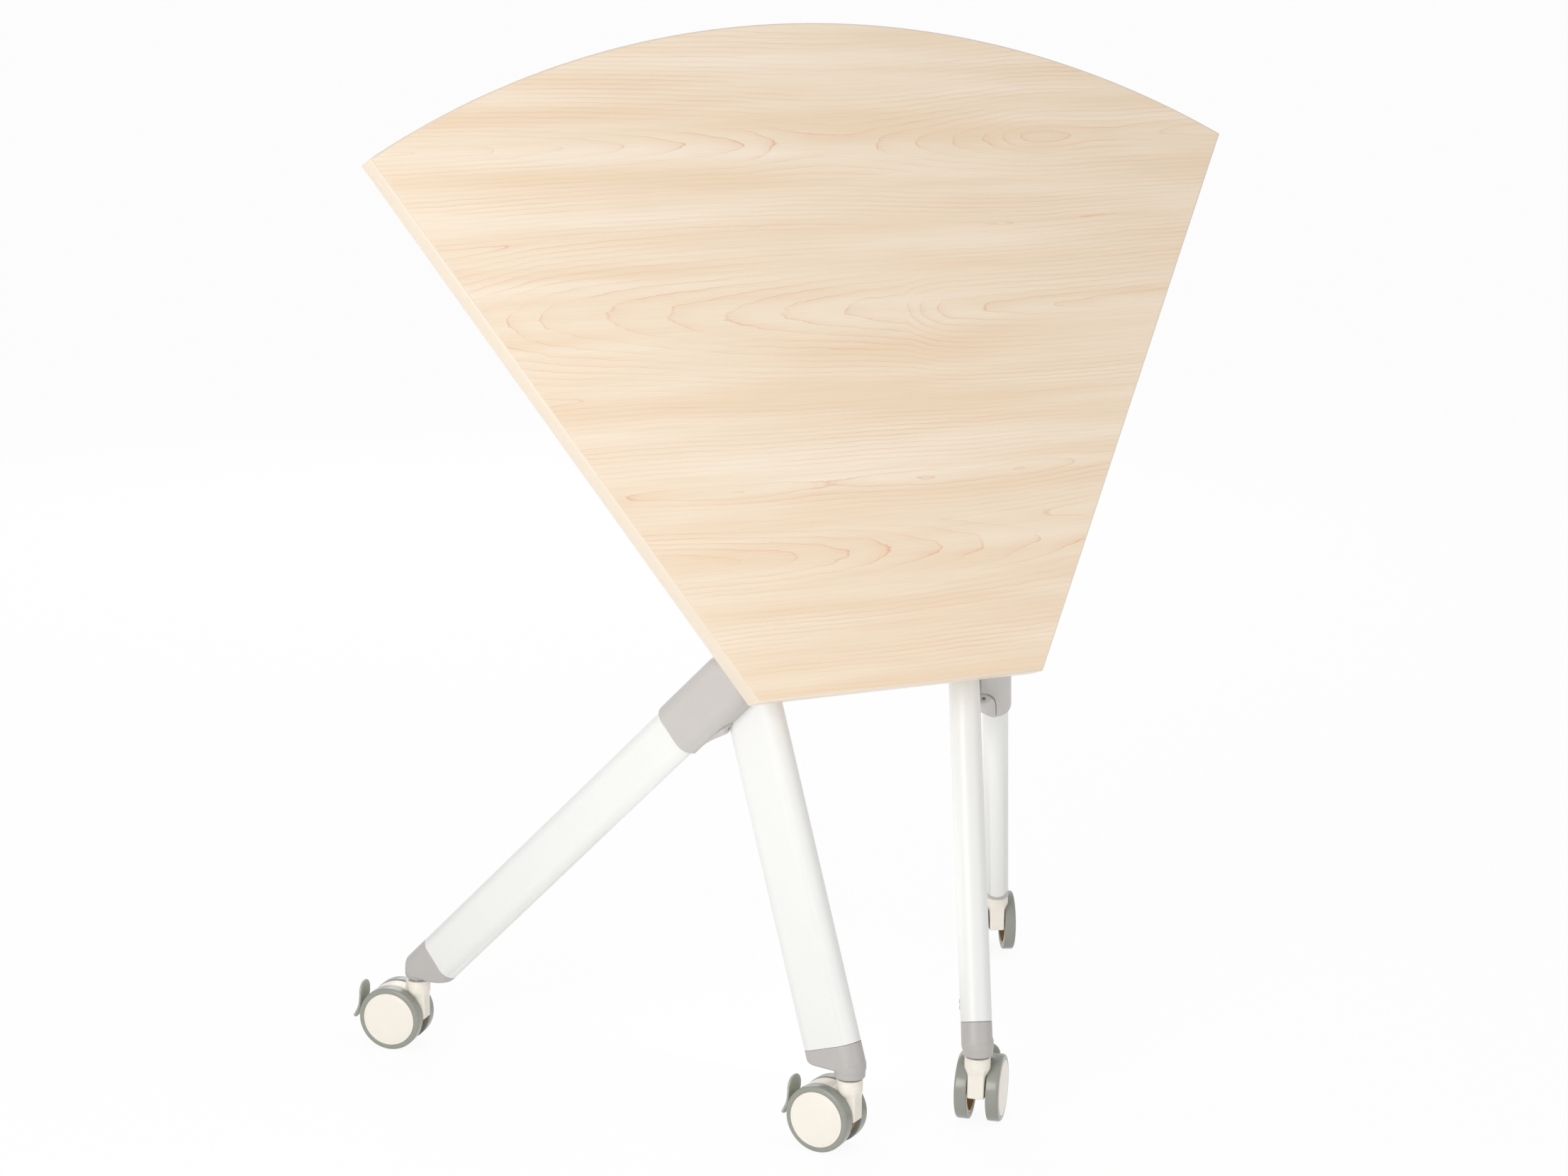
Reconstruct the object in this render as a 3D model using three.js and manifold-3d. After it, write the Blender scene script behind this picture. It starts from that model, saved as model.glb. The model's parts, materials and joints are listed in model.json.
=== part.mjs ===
// Flip top training table: a sector-shaped board that flips about a crossbeam, carried by two raked
// side frames on braked twin-wheel casters. Millimetres, +Z up, +Y away from the short edge's side.
// The board is shown flipped up for nesting, with its laminate facing -Y.

import * as THREE from 'three';
import { mergeVertices } from 'three/addons/utils/BufferGeometryUtils.js';
import Module from 'manifold-3d';

const DEG = Math.PI / 180;

// Board: a sector of two concentric radii with a straight short edge
const OUTER_RADIUS = 900;
const INNER_RADIUS = 300;
const HALF_ANGLE = 30 * DEG;
const BOARD_THICKNESS = 25;
const BAND_THICKNESS = 2;

// Heights above the floor, and the flip axis below the board's underside
const TABLE_HEIGHT = 750;
const PIVOT_DROP = 55;
const FRAME_BASE = 68;
const BOSS_HEIGHT = 71.5;
const PIVOT_FROM_SHORT_EDGE = 280;
const FLIP_ANGLE = 69.64 * DEG;

// Side frames: yawed apart, leaning in, each with a raked main leg and a rising rear leg
const HEAD_SPACING = 287.8;
const FRAME_YAW = 28.5 * DEG;
const FRAME_LEAN = 3 * DEG;
const MAIN_RAKE = 18.8 * DEG;
const REAR_RISE = 44.2 * DEG;
const STEM_SPACING = 510.8;
const FRONT_STEM_AHEAD = 10.2;
const REAR_STEM_AHEAD = 2.4;

// Leg tubes, flat ovals
const MAIN_TUBE_WIDTH = 60;
const MAIN_TUBE_DEPTH = 30;
const REAR_TUBE_WIDTH = 50;
const REAR_TUBE_DEPTH = 25;
const TUBE_WALL = 2;
const MAIN_TUBE_START = 33;
const REAR_TUBE_START = 45.5;

// Feet: caps on the tube ends with an upright boss for the caster stem
const FRONT_BOSS_RADIUS = 14.7;
const REAR_BOSS_RADIUS = 11.5;
const FRONT_FOOT_UNDERSIDE = 7;
const REAR_FOOT_UNDERSIDE = 4.2;
const FOOT_PLUG_LENGTH = 25;
const FOOT_SIDE_EASE = 2;
const FOOT_BOSS_ROOT = 1.5;

// Knuckle casting at the rear leg's upper end
const KNUCKLE_THICKNESS = 31;
const KNUCKLE_WIDTH = 55;
const KNUCKLE_LENGTH = 79.4;
const KNUCKLE_SOCKET_DEPTH = 54.4;
const KNUCKLE_SQUARE_START = 30;
const COVER_LENGTH = 48;
const COVER_ARCH = 26;
const COVER_REACH = 9;
const COVER_SWELL_RADIUS = 11;
const COVER_SWELL_SHIFT = 12;
const COVER_SWELL_DROP = 23.8;
const COVER_SWELL_TILT = 17 * DEG;
const COVER_END_SLOPE = 26 * DEG;

// Leg heads, crossbeam and flip brackets
const BEAM_RADIUS = 19;
const BEAM_WALL = 2;
const HEAD_WIDTH = 24;
const HEAD_RADIUS = 30;
const HEAD_WALL = 3.5;
const HEAD_COLLAR_LENGTH = 50;
const HEAD_FLOOR = 6;
const REST_ARM_REACH = 75;
const REST_ARM_PAD = 34;
const REST_ARM_DEPTH = 22;
const BRACKET_SPACING = 204;
const BRACKET_WIDTH = 24;
const BRACKET_WALL = 5.4;
const BRACKET_FLANGE_WIDTH = 46;
const BRACKET_FLANGE_FRONT = 55;
const BRACKET_FLANGE_REAR = 75;
const BRACKET_FLANGE = 5;
const BUSH_WALL = 2;

// Bumpers that lean on the main legs when the board is flipped
const BUMPER_DOWN_LEG = 190;
const BUMPER_BASE_RADIUS = 14;
const BUMPER_TIP_RADIUS = 10;

// Latch: a sprung hook under the board that closes round a catch bar carried by the crossbeam
const CATCH_REACH = 92;
const CATCH_HEIGHT = 18;
const CATCH_BAR_RADIUS = 4;
const CATCH_WIDTH = 40;
const CATCH_ARM = 6;
const CATCH_SLEEVE_WALL = 5;
const LEVER_AXIS_BEHIND = 8;
const LEVER_AXIS_DROP = 10.5;
const LEVER_WIDTH = 12;
const LEVER_HOOK = 7;
const LEVER_PADDLE_LENGTH = 85;
const LEVER_PADDLE_WIDTH = 50;
const LEVER_PADDLE_THICKNESS = 5;
const LEVER_PADDLE_DROP = 20;
const LATCH_EAR = 3;
const LATCH_EAR_SPACING = 26;
const LATCH_BASE = 3;
const LATCH_BASE_WIDTH = 64;
const PIN_RADIUS = 2.5;
const SPRING_WIRE = 1.2;
const SPRING_RADIUS = 4.6;
const SPRING_TURNS = 3;
const SPRING_PITCH = 1.75;

// Casters
const WHEEL_RADIUS = 32.5;
const WHEEL_INNER = 9.2;
const TYRE_WIDTH = 12.3;
const TYRE_SHOULDER = 1.5;
const HUB_RADIUS = 27.8;
const HUB_RIM = 2.5;
const HUB_FACE = 3;
const HUB_PROUD = 1;
const HUB_BOSS_RADIUS = 7;
const AXLE_RADIUS = 4;
const TRAIL = 24;
const HOUSING_RADIUS = 12.5;
const HOUSING_GAP = 2.5;
const NECK_WIDTH = 16;
const NECK_FRONT = 10.5;
const NECK_BOTTOM = 31;
const NECK_SHOULDER = 8.75;
const HOOD_RADIUS = 32;
const HOOD_TAIL_ANGLE = 12 * DEG;
const STEM_RADIUS = 5.5;
const STEM_COLLAR_RADIUS = 8.5;
const STEM_IN_BOSS = 22;
const STEM_IN_HOUSING = 15;
const BRAKE_PIN_RADIUS = 2;
const BRAKE_AXIS_BEHIND = 23.04;
const BRAKE_AXIS_ABOVE = 8;
const BRAKE_TONGUE = 6;
const BRAKE_WIDTH = 19;
const BRAKE_LIP_WIDTH = 15;
const BRAKE_THICKNESS = 3.6;
const BRAKE_TOP = 65.5;
const BRAKE_LIP_REACH = 12.5;
const BRAKE_LIP_HEIGHT = 29.5;

// Bottle shape of the caster's neck, from the bottom up: share of the way from half the plate's width
// to the full radius, and drop below the top
const NECK_PROFILE = [[0, 20], [0.25, 16.875], [0.75, 11.25], [1, 7.5], [1, 0]];

// Directions that the four casters trail in, seen from above, from +X towards +Y
const CASTER_SWIVEL = {
  front_left: 124.5 * DEG,
  rear_left: 137.5 * DEG,
  front_right: 50 * DEG,
  rear_right: 67.5 * DEG,
};

// Clearances, and the distance within which mesh corners count as one
const SEAT_GAP = 0.3;
const RUN_GAP = 0.5;
const WELD = 1e-4;

// Facets on each arc of an outline, and segments round a turned piece
const ARC_FACETS = 5;
const BORE_FACETS = 10;
const BOSS_FACETS = 8;
const HOOD_FACETS = 8;
const DRUM_FACETS = 14;
const RIM_FACETS = 10;
const WIRE_FACETS = 3;
const BOARD_FACETS = 18;
const SPRING_STEPS = 10;
const STEM_SEGMENTS = 16;
const LATHE_SEGMENTS = 20;
const WHEEL_SEGMENTS = 24;

// Finishes: colour, roughness, metalness
const MAPLE = [0xecd5ba, 0.45, 0];
const CREAM_BAND = [0xf8ead6, 0.4, 0];
const WHITE_PAINT = [0xf4f4f2, 0.4, 0];
const GREY_PAINT = [0xc4c1be, 0.45, 0];
const CREAM_NYLON = [0xf5efe4, 0.35, 0];
const SAGE_TYRE = [0x8c938e, 0.4, 0];
const SAGE_NYLON = [0x8f9691, 0.45, 0];
const BRIGHT_STEEL = [0xb8b8b8, 0.3, 1];
const BLACK_RUBBER = [0x2b2b2b, 0.8, 0];

const wasm = await Module();
wasm.setup();

function closedSolid(geometry) {
  const bare = geometry.clone();
  bare.deleteAttribute('normal');
  bare.deleteAttribute('uv');
  const merged = mergeVertices(bare, WELD);
  const corners = merged.index.array;
  const kept = [];
  for (let i = 0; i < corners.length; i += 3) {
    const [a, b, c] = [corners[i], corners[i + 1], corners[i + 2]];
    if (a !== b && b !== c && c !== a) {
      kept.push(a, b, c);
    }
  }
  const mesh = new wasm.Mesh({
    numProp: 3,
    vertProperties: new Float32Array(merged.attributes.position.array),
    triVerts: new Uint32Array(kept),
  });
  return new wasm.Manifold(mesh);
}

function geometryOf(manifold) {
  const mesh = manifold.getMesh();
  const geometry = new THREE.BufferGeometry();
  geometry.setAttribute('position', new THREE.BufferAttribute(new Float32Array(mesh.vertProperties), 3));
  geometry.setIndex(new THREE.BufferAttribute(new Uint32Array(mesh.triVerts), 1));
  geometry.computeVertexNormals();
  return geometry;
}

function joined(...geometries) {
  return geometryOf(geometries.map(closedSolid).reduce((whole, next) => whole.add(next)));
}

function cut(geometry, ...tools) {
  const solid = closedSolid(geometry);
  return geometryOf(tools.map(closedSolid).reduce((whole, tool) => whole.subtract(tool), solid));
}

function common(geometry, other) {
  return geometryOf(closedSolid(geometry).intersect(closedSolid(other)));
}

function addPiece(parent, name, geometry, [color, roughness, metalness]) {
  const mesh = new THREE.Mesh(geometry, new THREE.MeshStandardMaterial({ color, roughness, metalness }));
  mesh.name = name;
  parent.add(mesh);
  return mesh;
}

// The same geometry, carried from one group's axes to another's
function carried(geometry, from, to) {
  from.updateWorldMatrix(true, false);
  to.updateWorldMatrix(true, false);
  return geometry.applyMatrix4(to.matrixWorld.clone().invert().multiply(from.matrixWorld));
}

function polygon(points) {
  return new THREE.Shape(points.map(([x, y]) => new THREE.Vector2(x, y)));
}

function circle(radius, x = 0, y = 0) {
  const shape = new THREE.Shape();
  shape.absarc(x, y, radius, 0, 2 * Math.PI, false);
  return shape;
}

function ring(outer, inner) {
  const shape = circle(outer);
  shape.holes.push(circle(inner));
  return shape;
}

function flatOval(width, depth) {
  const shape = new THREE.Shape();
  const straight = (width - depth) / 2;
  shape.absarc(straight, 0, depth / 2, -Math.PI / 2, Math.PI / 2, false);
  shape.absarc(-straight, 0, depth / 2, Math.PI / 2, 1.5 * Math.PI, false);
  return shape;
}

// Prism on an outline in the XY plane, between two heights
function upright(shape, low, high, curveSegments = ARC_FACETS) {
  const depth = high - low;
  const geometry = new THREE.ExtrudeGeometry(shape, { depth, bevelEnabled: false, curveSegments });
  return geometry.translate(0, 0, low);
}

// Prism on an outline in the XZ plane, centred on an offset along Y
function sideways(shape, width, offset = 0, curveSegments = ARC_FACETS) {
  const geometry = upright(shape, -width / 2, width / 2, curveSegments);
  return geometry.rotateX(Math.PI / 2).translate(0, offset, 0);
}

// Prism on an outline in the YZ plane, centred on an offset along X
function crosswise(shape, width, offset = 0, curveSegments = ARC_FACETS) {
  const turn = new THREE.Matrix4().makeBasis(
    new THREE.Vector3(0, 1, 0),
    new THREE.Vector3(0, 0, 1),
    new THREE.Vector3(1, 0, 0),
  );
  return upright(shape, -width / 2, width / 2, curveSegments).applyMatrix4(turn).translate(offset, 0, 0);
}

// Turned solid about Y from (radius, height) points given from the bottom up
function turned(profile, segments) {
  return new THREE.LatheGeometry(profile.map(([r, y]) => new THREE.Vector2(r, y)), segments);
}

// Turned solid about Z
function turnedUpright(profile, segments) {
  return turned(profile, segments).rotateX(Math.PI / 2);
}

const table = new THREE.Group();

// Board and edge band, in the axes of the flat board with the flip axis at the origin

const PIVOT_HEIGHT = TABLE_HEIGHT - BOARD_THICKNESS - PIVOT_DROP;
const UNDERSIDE = PIVOT_DROP;
const LAMINATE = UNDERSIDE + BOARD_THICKNESS;

function sectorOutline(inset) {
  const apex = -PIVOT_FROM_SHORT_EDGE - INNER_RADIUS * Math.cos(HALF_ANGLE);
  const shift = inset / Math.sin(HALF_ANGLE);
  const shortEdge = -PIVOT_FROM_SHORT_EDGE + inset;
  const shortHalf = (shortEdge - apex - shift) * Math.tan(HALF_ANGLE);
  const radius = OUTER_RADIUS - inset;
  const along = Math.sqrt(radius ** 2 - inset ** 2) - shift * Math.cos(HALF_ANGLE);
  const corner = Math.atan2(shift + along * Math.cos(HALF_ANGLE), along * Math.sin(HALF_ANGLE));
  const shape = new THREE.Shape();
  shape.moveTo(-shortHalf, shortEdge);
  shape.lineTo(shortHalf, shortEdge);
  shape.absarc(0, apex, radius, corner, Math.PI - corner, false);
  shape.closePath();
  return shape;
}

const top = new THREE.Group();
top.position.set(0, 0, PIVOT_HEIGHT);
top.rotation.x = FLIP_ANGLE;
table.add(top);

const bandOutline = sectorOutline(0);
bandOutline.holes.push(sectorOutline(BAND_THICKNESS));
const boardOutline = sectorOutline(BAND_THICKNESS + SEAT_GAP);
addPiece(top, 'table_board', upright(boardOutline, UNDERSIDE, LAMINATE, BOARD_FACETS), MAPLE);
addPiece(top, 'edge_band', upright(bandOutline, UNDERSIDE, LAMINATE, BOARD_FACETS), CREAM_BAND);

// Side frames

const KNUCKLE_OFFSET = MAIN_TUBE_DEPTH / 2 + SEAT_GAP + KNUCKLE_THICKNESS / 2;
const REAR_AXIS = STEM_SPACING - FRONT_STEM_AHEAD + REAR_STEM_AHEAD;
const BEAM_END = HEAD_SPACING / 2 + HEAD_WIDTH / 2 - HEAD_WALL;

function ovalTube(width, depth, low, high) {
  const shape = flatOval(width, depth);
  shape.holes.push(flatOval(width - 2 * TUBE_WALL, depth - 2 * TUBE_WALL));
  return upright(shape, low, high);
}

// A cap that carries a tube's oval down to an upright boss, with a plug that fits into the tube.
// Ahead is the side of the boss where the cap ends: -1 at the front, +1 at the rear.
function footGeometry(leg, foot, tube, boss, underside, ahead) {
  const reach = 3 * tube.width;
  const high = BOSS_HEIGHT;
  const side = tube.depth / 2 + FOOT_SIDE_EASE;
  const plan = new THREE.Shape();
  plan.moveTo(-ahead * reach, -ahead * side);
  plan.lineTo(0, -ahead * side);
  plan.absellipse(0, 0, boss, side, -ahead * Math.PI / 2, ahead * Math.PI / 2, false, 0);
  plan.lineTo(-ahead * reach, ahead * side);
  plan.closePath();
  const shell = upright(flatOval(tube.width, tube.depth), tube.start - reach, tube.start - SEAT_GAP);
  const cap = common(carried(shell, leg, foot), upright(plan, underside, high));
  const post = upright(circle(boss), 0, underside + FOOT_BOSS_ROOT, BOSS_FACETS);
  const play = 2 * (TUBE_WALL + SEAT_GAP);
  const plug = upright(
    flatOval(tube.width - play, tube.depth - play),
    tube.start - 2 * SEAT_GAP, tube.start + FOOT_PLUG_LENGTH,
  );
  const bore = upright(circle(STEM_RADIUS + SEAT_GAP), -1, STEM_IN_BOSS + SEAT_GAP);
  return cut(joined(cap, common(post, upright(plan, 0, high)), carried(plug, leg, foot)), bore);
}

// Window in the knuckle's underside, from its middle to the side that lies against the main leg
function coverWindow(mouth, out, gap, overhang) {
  const beyond = 2 * KNUCKLE_THICKNESS;
  const high = mouth + COVER_LENGTH - gap;
  const shape = new THREE.Shape();
  shape.moveTo(-out * gap, mouth - overhang);
  shape.lineTo(-out * beyond, mouth - overhang);
  shape.lineTo(-out * beyond, high);
  shape.lineTo(-out * KNUCKLE_THICKNESS / 2, high);
  shape.quadraticCurveTo(-out * gap, high, -out * gap, high - COVER_ARCH);
  shape.closePath();
  const near = -COVER_REACH - gap;
  const far = -2 * KNUCKLE_WIDTH;
  return crosswise(shape, near - far, (near + far) / 2);
}

function tubeSocket(mouth) {
  return upright(
    flatOval(REAR_TUBE_WIDTH + 2 * SEAT_GAP, REAR_TUBE_DEPTH + 2 * SEAT_GAP),
    mouth - KNUCKLE_LENGTH, mouth + KNUCKLE_SOCKET_DEPTH + SEAT_GAP,
  );
}

// An oval block with a rounded disc for its head, squared on the side that lies against the main leg
function knuckleGeometry(axisLength, out) {
  const mouth = axisLength - KNUCKLE_LENGTH;
  const half = KNUCKLE_THICKNESS / 2;
  const broad = KNUCKLE_WIDTH / 2;
  const low = mouth + KNUCKLE_SQUARE_START;
  const flank = new THREE.Shape();
  flank.moveTo(-broad, low);
  flank.lineTo(0, low - half);
  flank.lineTo(broad, low);
  flank.absarc(0, axisLength, broad, 0, Math.PI, false);
  flank.closePath();
  const square = sideways(flank, half, -out * half / 2, BORE_FACETS);
  const flat = KNUCKLE_WIDTH / 2 - half;
  const rim = [[0, -half]];
  for (let i = 0; i <= RIM_FACETS; i += 1) {
    const angle = Math.PI * (i / RIM_FACETS - 0.5);
    rim.push([flat + half * Math.cos(angle), half * Math.sin(angle)]);
  }
  rim.push([0, half]);
  const block = joined(
    upright(flatOval(KNUCKLE_WIDTH, KNUCKLE_THICKNESS), mouth, axisLength),
    turned(rim, WHEEL_SEGMENTS).translate(0, 0, axisLength),
    square,
  );
  return cut(block, tubeSocket(mouth), coverWindow(mouth, out, 0, KNUCKLE_LENGTH));
}

// Cover that fills the window and swells towards the main leg, with a sloping upper end
function coverGeometry(axisLength, out) {
  const mouth = axisLength - KNUCKLE_LENGTH;
  const swell = upright(circle(COVER_SWELL_RADIUS), -2 * COVER_LENGTH, COVER_LENGTH);
  swell.rotateY(-COVER_SWELL_TILT);
  swell.translate(-COVER_SWELL_DROP, -out * COVER_SWELL_SHIFT, mouth + COVER_LENGTH);
  const block = joined(upright(flatOval(KNUCKLE_WIDTH, KNUCKLE_THICKNESS), mouth, axisLength), swell);
  const slab = new THREE.BoxGeometry(4 * KNUCKLE_WIDTH, KNUCKLE_THICKNESS, 4 * KNUCKLE_LENGTH);
  const endCut = new THREE.BoxGeometry(4 * KNUCKLE_WIDTH, 4 * KNUCKLE_THICKNESS, 2 * KNUCKLE_LENGTH);
  endCut.translate(-2 * KNUCKLE_WIDTH, 0, KNUCKLE_LENGTH).rotateY(COVER_END_SLOPE - Math.PI / 2);
  endCut.translate(-KNUCKLE_WIDTH / 2, 0, mouth + COVER_LENGTH);
  const body = cut(common(block, slab.translate(0, 0, axisLength)), tubeSocket(mouth), endCut);
  return common(body, coverWindow(mouth, out, SEAT_GAP, 0));
}

// Leg head: a plate about the flip axis with a rear arm that the flat board rests on, and a collar
// round the main leg's top
function headGeometry(leg, head, mainLength, out) {
  const armTop = UNDERSIDE - SEAT_GAP;
  const armFront = REST_ARM_REACH - REST_ARM_PAD;
  const plate = joined(
    crosswise(circle(HEAD_RADIUS), HEAD_WIDTH, 0, BORE_FACETS),
    crosswise(polygon([
      [0, -HEAD_RADIUS],
      [REST_ARM_REACH, armTop - REST_ARM_DEPTH],
      [REST_ARM_REACH, armTop],
      [armFront, armTop],
      [-HEAD_RADIUS / 2, HEAD_RADIUS / 2],
    ]), HEAD_WIDTH),
  );
  const collarTop = mainLength - BEAM_RADIUS / 2;
  const tubeTop = mainLength - BEAM_RADIUS - HEAD_FLOOR;
  const collar = upright(
    flatOval(MAIN_TUBE_WIDTH + 2 * HEAD_WALL, MAIN_TUBE_DEPTH + 2 * HEAD_WALL),
    tubeTop - HEAD_COLLAR_LENGTH, collarTop,
  );
  const socket = upright(
    flatOval(MAIN_TUBE_WIDTH + 2 * SEAT_GAP, MAIN_TUBE_DEPTH + 2 * SEAT_GAP),
    tubeTop - 2 * HEAD_COLLAR_LENGTH, tubeTop + SEAT_GAP,
  );
  const boreEnd = BEAM_END + SEAT_GAP - HEAD_SPACING / 2;
  const boreStart = -HEAD_SPACING / 2;
  const bore = crosswise(
    circle(BEAM_RADIUS + SEAT_GAP), boreEnd - boreStart, -out * (boreStart + boreEnd) / 2, BORE_FACETS,
  );
  return cut(joined(plate, carried(collar, leg, head)), carried(socket, leg, head), bore);
}

const stemPoints = {};
const sides = [['left', 1], ['right', -1]];
for (const [side, out] of sides) {
  const frame = new THREE.Group();
  frame.rotation.set(out * FRAME_LEAN, 0, Math.PI / 2 + out * FRAME_YAW, 'ZYX');
  const pivot = new THREE.Vector3(-out * HEAD_SPACING / 2, 0, PIVOT_HEIGHT);
  const rise = new THREE.Vector3(Math.sin(MAIN_RAKE), 0, Math.cos(MAIN_RAKE)).applyEuler(frame.rotation);
  const mainLength = (PIVOT_HEIGHT - FRAME_BASE) / rise.z;
  frame.position.copy(pivot).addScaledVector(rise, -mainLength);
  table.add(frame);

  const mainLeg = new THREE.Group();
  mainLeg.rotation.y = MAIN_RAKE;
  frame.add(mainLeg);
  const mainTop = mainLength - BEAM_RADIUS - HEAD_FLOOR;
  const mainTube = ovalTube(MAIN_TUBE_WIDTH, MAIN_TUBE_DEPTH, MAIN_TUBE_START, mainTop);
  addPiece(mainLeg, `main_leg_${side}`, mainTube, WHITE_PAINT);

  const rearFootDrop = -KNUCKLE_OFFSET * Math.tan(FRAME_LEAN);
  const rearLeg = new THREE.Group();
  rearLeg.position.set(REAR_AXIS, out * KNUCKLE_OFFSET, rearFootDrop);
  rearLeg.rotation.y = REAR_RISE - Math.PI / 2;
  frame.add(rearLeg);
  const rearLength = (REAR_AXIS - rearFootDrop * Math.tan(MAIN_RAKE))
    / (Math.cos(REAR_RISE) + Math.tan(MAIN_RAKE) * Math.sin(REAR_RISE));
  const rearTop = rearLength - KNUCKLE_LENGTH + KNUCKLE_SOCKET_DEPTH;
  const rearTube = ovalTube(REAR_TUBE_WIDTH, REAR_TUBE_DEPTH, REAR_TUBE_START, rearTop);
  addPiece(rearLeg, `rear_leg_${side}`, rearTube, WHITE_PAINT);
  addPiece(rearLeg, `knuckle_${side}`, knuckleGeometry(rearLength, out), GREY_PAINT);
  addPiece(rearLeg, `knuckle_cover_${side}`, coverGeometry(rearLength, out), GREY_PAINT);

  const feet = [
    {
      end: 'front', leg: mainLeg, boss: FRONT_BOSS_RADIUS, underside: FRONT_FOOT_UNDERSIDE, ahead: -1,
      tube: { width: MAIN_TUBE_WIDTH, depth: MAIN_TUBE_DEPTH, start: MAIN_TUBE_START },
      stem: new THREE.Vector3(-FRONT_STEM_AHEAD, 0, 0),
    },
    {
      end: 'rear', leg: rearLeg, boss: REAR_BOSS_RADIUS, underside: REAR_FOOT_UNDERSIDE, ahead: 1,
      tube: { width: REAR_TUBE_WIDTH, depth: REAR_TUBE_DEPTH, start: REAR_TUBE_START },
      stem: new THREE.Vector3(REAR_AXIS - REAR_STEM_AHEAD, out * KNUCKLE_OFFSET, rearFootDrop),
    },
  ];
  frame.updateWorldMatrix(true, true);
  for (const { end, leg, boss, underside, ahead, tube, stem } of feet) {
    const foot = new THREE.Group();
    foot.position.copy(frame.localToWorld(stem)).setZ(BOSS_HEIGHT);
    foot.rotation.z = Math.PI / 2 + out * FRAME_YAW;
    table.add(foot);
    const geometry = footGeometry(leg, foot, tube, boss, underside, ahead);
    addPiece(foot, `${end}_foot_${side}`, geometry, GREY_PAINT);
    stemPoints[`${end}_${side}`] = foot.position.clone();
  }

  const head = new THREE.Group();
  head.position.copy(pivot);
  table.add(head);
  addPiece(head, `leg_head_${side}`, headGeometry(mainLeg, head, mainLength, out), GREY_PAINT);

  // The bumper stands on the underside where the leg's nose comes nearest to the flipped board
  const nose = new THREE.Vector3(0, Math.cos(FLIP_ANGLE + Math.PI / 2), Math.sin(FLIP_ANGLE + Math.PI / 2));
  const broad = new THREE.Vector3(1, 0, 0).transformDirection(mainLeg.matrixWorld);
  const flat = (MAIN_TUBE_WIDTH - MAIN_TUBE_DEPTH) / 2;
  const touch = mainLeg.localToWorld(new THREE.Vector3(0, 0, mainLength - BUMPER_DOWN_LEG));
  touch.addScaledVector(broad, Math.sign(broad.dot(nose)) * flat);
  touch.addScaledVector(nose, MAIN_TUBE_DEPTH / 2);
  top.updateWorldMatrix(true, false);
  top.worldToLocal(touch);
  const tip = touch.z + RUN_GAP;
  const post = turnedUpright([
    [0, tip],
    [BUMPER_TIP_RADIUS, tip],
    [BUMPER_BASE_RADIUS, UNDERSIDE - SEAT_GAP],
    [0, UNDERSIDE - SEAT_GAP],
  ], LATHE_SEGMENTS);
  addPiece(top, `stop_bumper_${side}`, post.translate(touch.x, touch.y, 0), BLACK_RUBBER);

  // Flip bracket: a hub on the crossbeam, a web and a flange under the board, lined by a bush
  const hubBore = BEAM_RADIUS + SEAT_GAP + BUSH_WALL;
  const hubRadius = hubBore + SEAT_GAP + BRACKET_WALL;
  const flangeTop = UNDERSIDE - SEAT_GAP;
  const web = polygon([
    [-hubRadius, 0],
    [hubRadius, 0],
    [BRACKET_FLANGE_REAR - BRACKET_FLANGE, flangeTop - BRACKET_FLANGE / 2],
    [BRACKET_FLANGE - BRACKET_FLANGE_FRONT, flangeTop - BRACKET_FLANGE / 2],
  ]);
  const flangeLength = BRACKET_FLANGE_FRONT + BRACKET_FLANGE_REAR;
  const flange = new THREE.BoxGeometry(BRACKET_FLANGE_WIDTH, flangeLength, BRACKET_FLANGE);
  flange.translate(0, flangeLength / 2 - BRACKET_FLANGE_FRONT, flangeTop - BRACKET_FLANGE / 2);
  const bracket = cut(
    joined(
      crosswise(circle(hubRadius), BRACKET_WIDTH, 0, BORE_FACETS),
      crosswise(web, BRACKET_WIDTH),
      flange,
    ),
    crosswise(circle(hubBore + SEAT_GAP), 2 * BRACKET_WIDTH, 0, BORE_FACETS),
  );
  const bracketPlace = -out * BRACKET_SPACING / 2;
  addPiece(top, `flip_bracket_${side}`, bracket.translate(bracketPlace, 0, 0), GREY_PAINT);
  const bush = crosswise(ring(hubBore, BEAM_RADIUS + SEAT_GAP), BRACKET_WIDTH, bracketPlace, BORE_FACETS);
  addPiece(top, `pivot_bush_${side}`, bush, CREAM_NYLON);
}

// Crossbeam and catch bracket, fixed on the flip axis

const axis = new THREE.Group();
axis.position.set(0, 0, PIVOT_HEIGHT);
table.add(axis);
const beam = crosswise(ring(BEAM_RADIUS, BEAM_RADIUS - BEAM_WALL), 2 * BEAM_END, 0, BORE_FACETS);
addPiece(axis, 'crossbeam', beam, WHITE_PAINT);

function catchGeometry() {
  const sleeve = BEAM_RADIUS + SEAT_GAP + CATCH_SLEEVE_WALL;
  const tip = 2 * CATCH_BAR_RADIUS;
  const arm = polygon([
    [0, -sleeve],
    [CATCH_REACH + tip, CATCH_HEIGHT - tip],
    [CATCH_REACH + tip, CATCH_HEIGHT + tip],
    [0, sleeve],
  ]);
  const armPlace = (CATCH_WIDTH - CATCH_ARM) / 2;
  const body = joined(
    crosswise(circle(sleeve), CATCH_WIDTH, 0, BORE_FACETS),
    crosswise(arm, CATCH_ARM, armPlace),
    crosswise(arm, CATCH_ARM, -armPlace),
    crosswise(circle(CATCH_BAR_RADIUS, CATCH_REACH, CATCH_HEIGHT), CATCH_WIDTH - CATCH_ARM),
  );
  return cut(body, crosswise(circle(BEAM_RADIUS + SEAT_GAP), 2 * CATCH_WIDTH, 0, BORE_FACETS));
}
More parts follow.
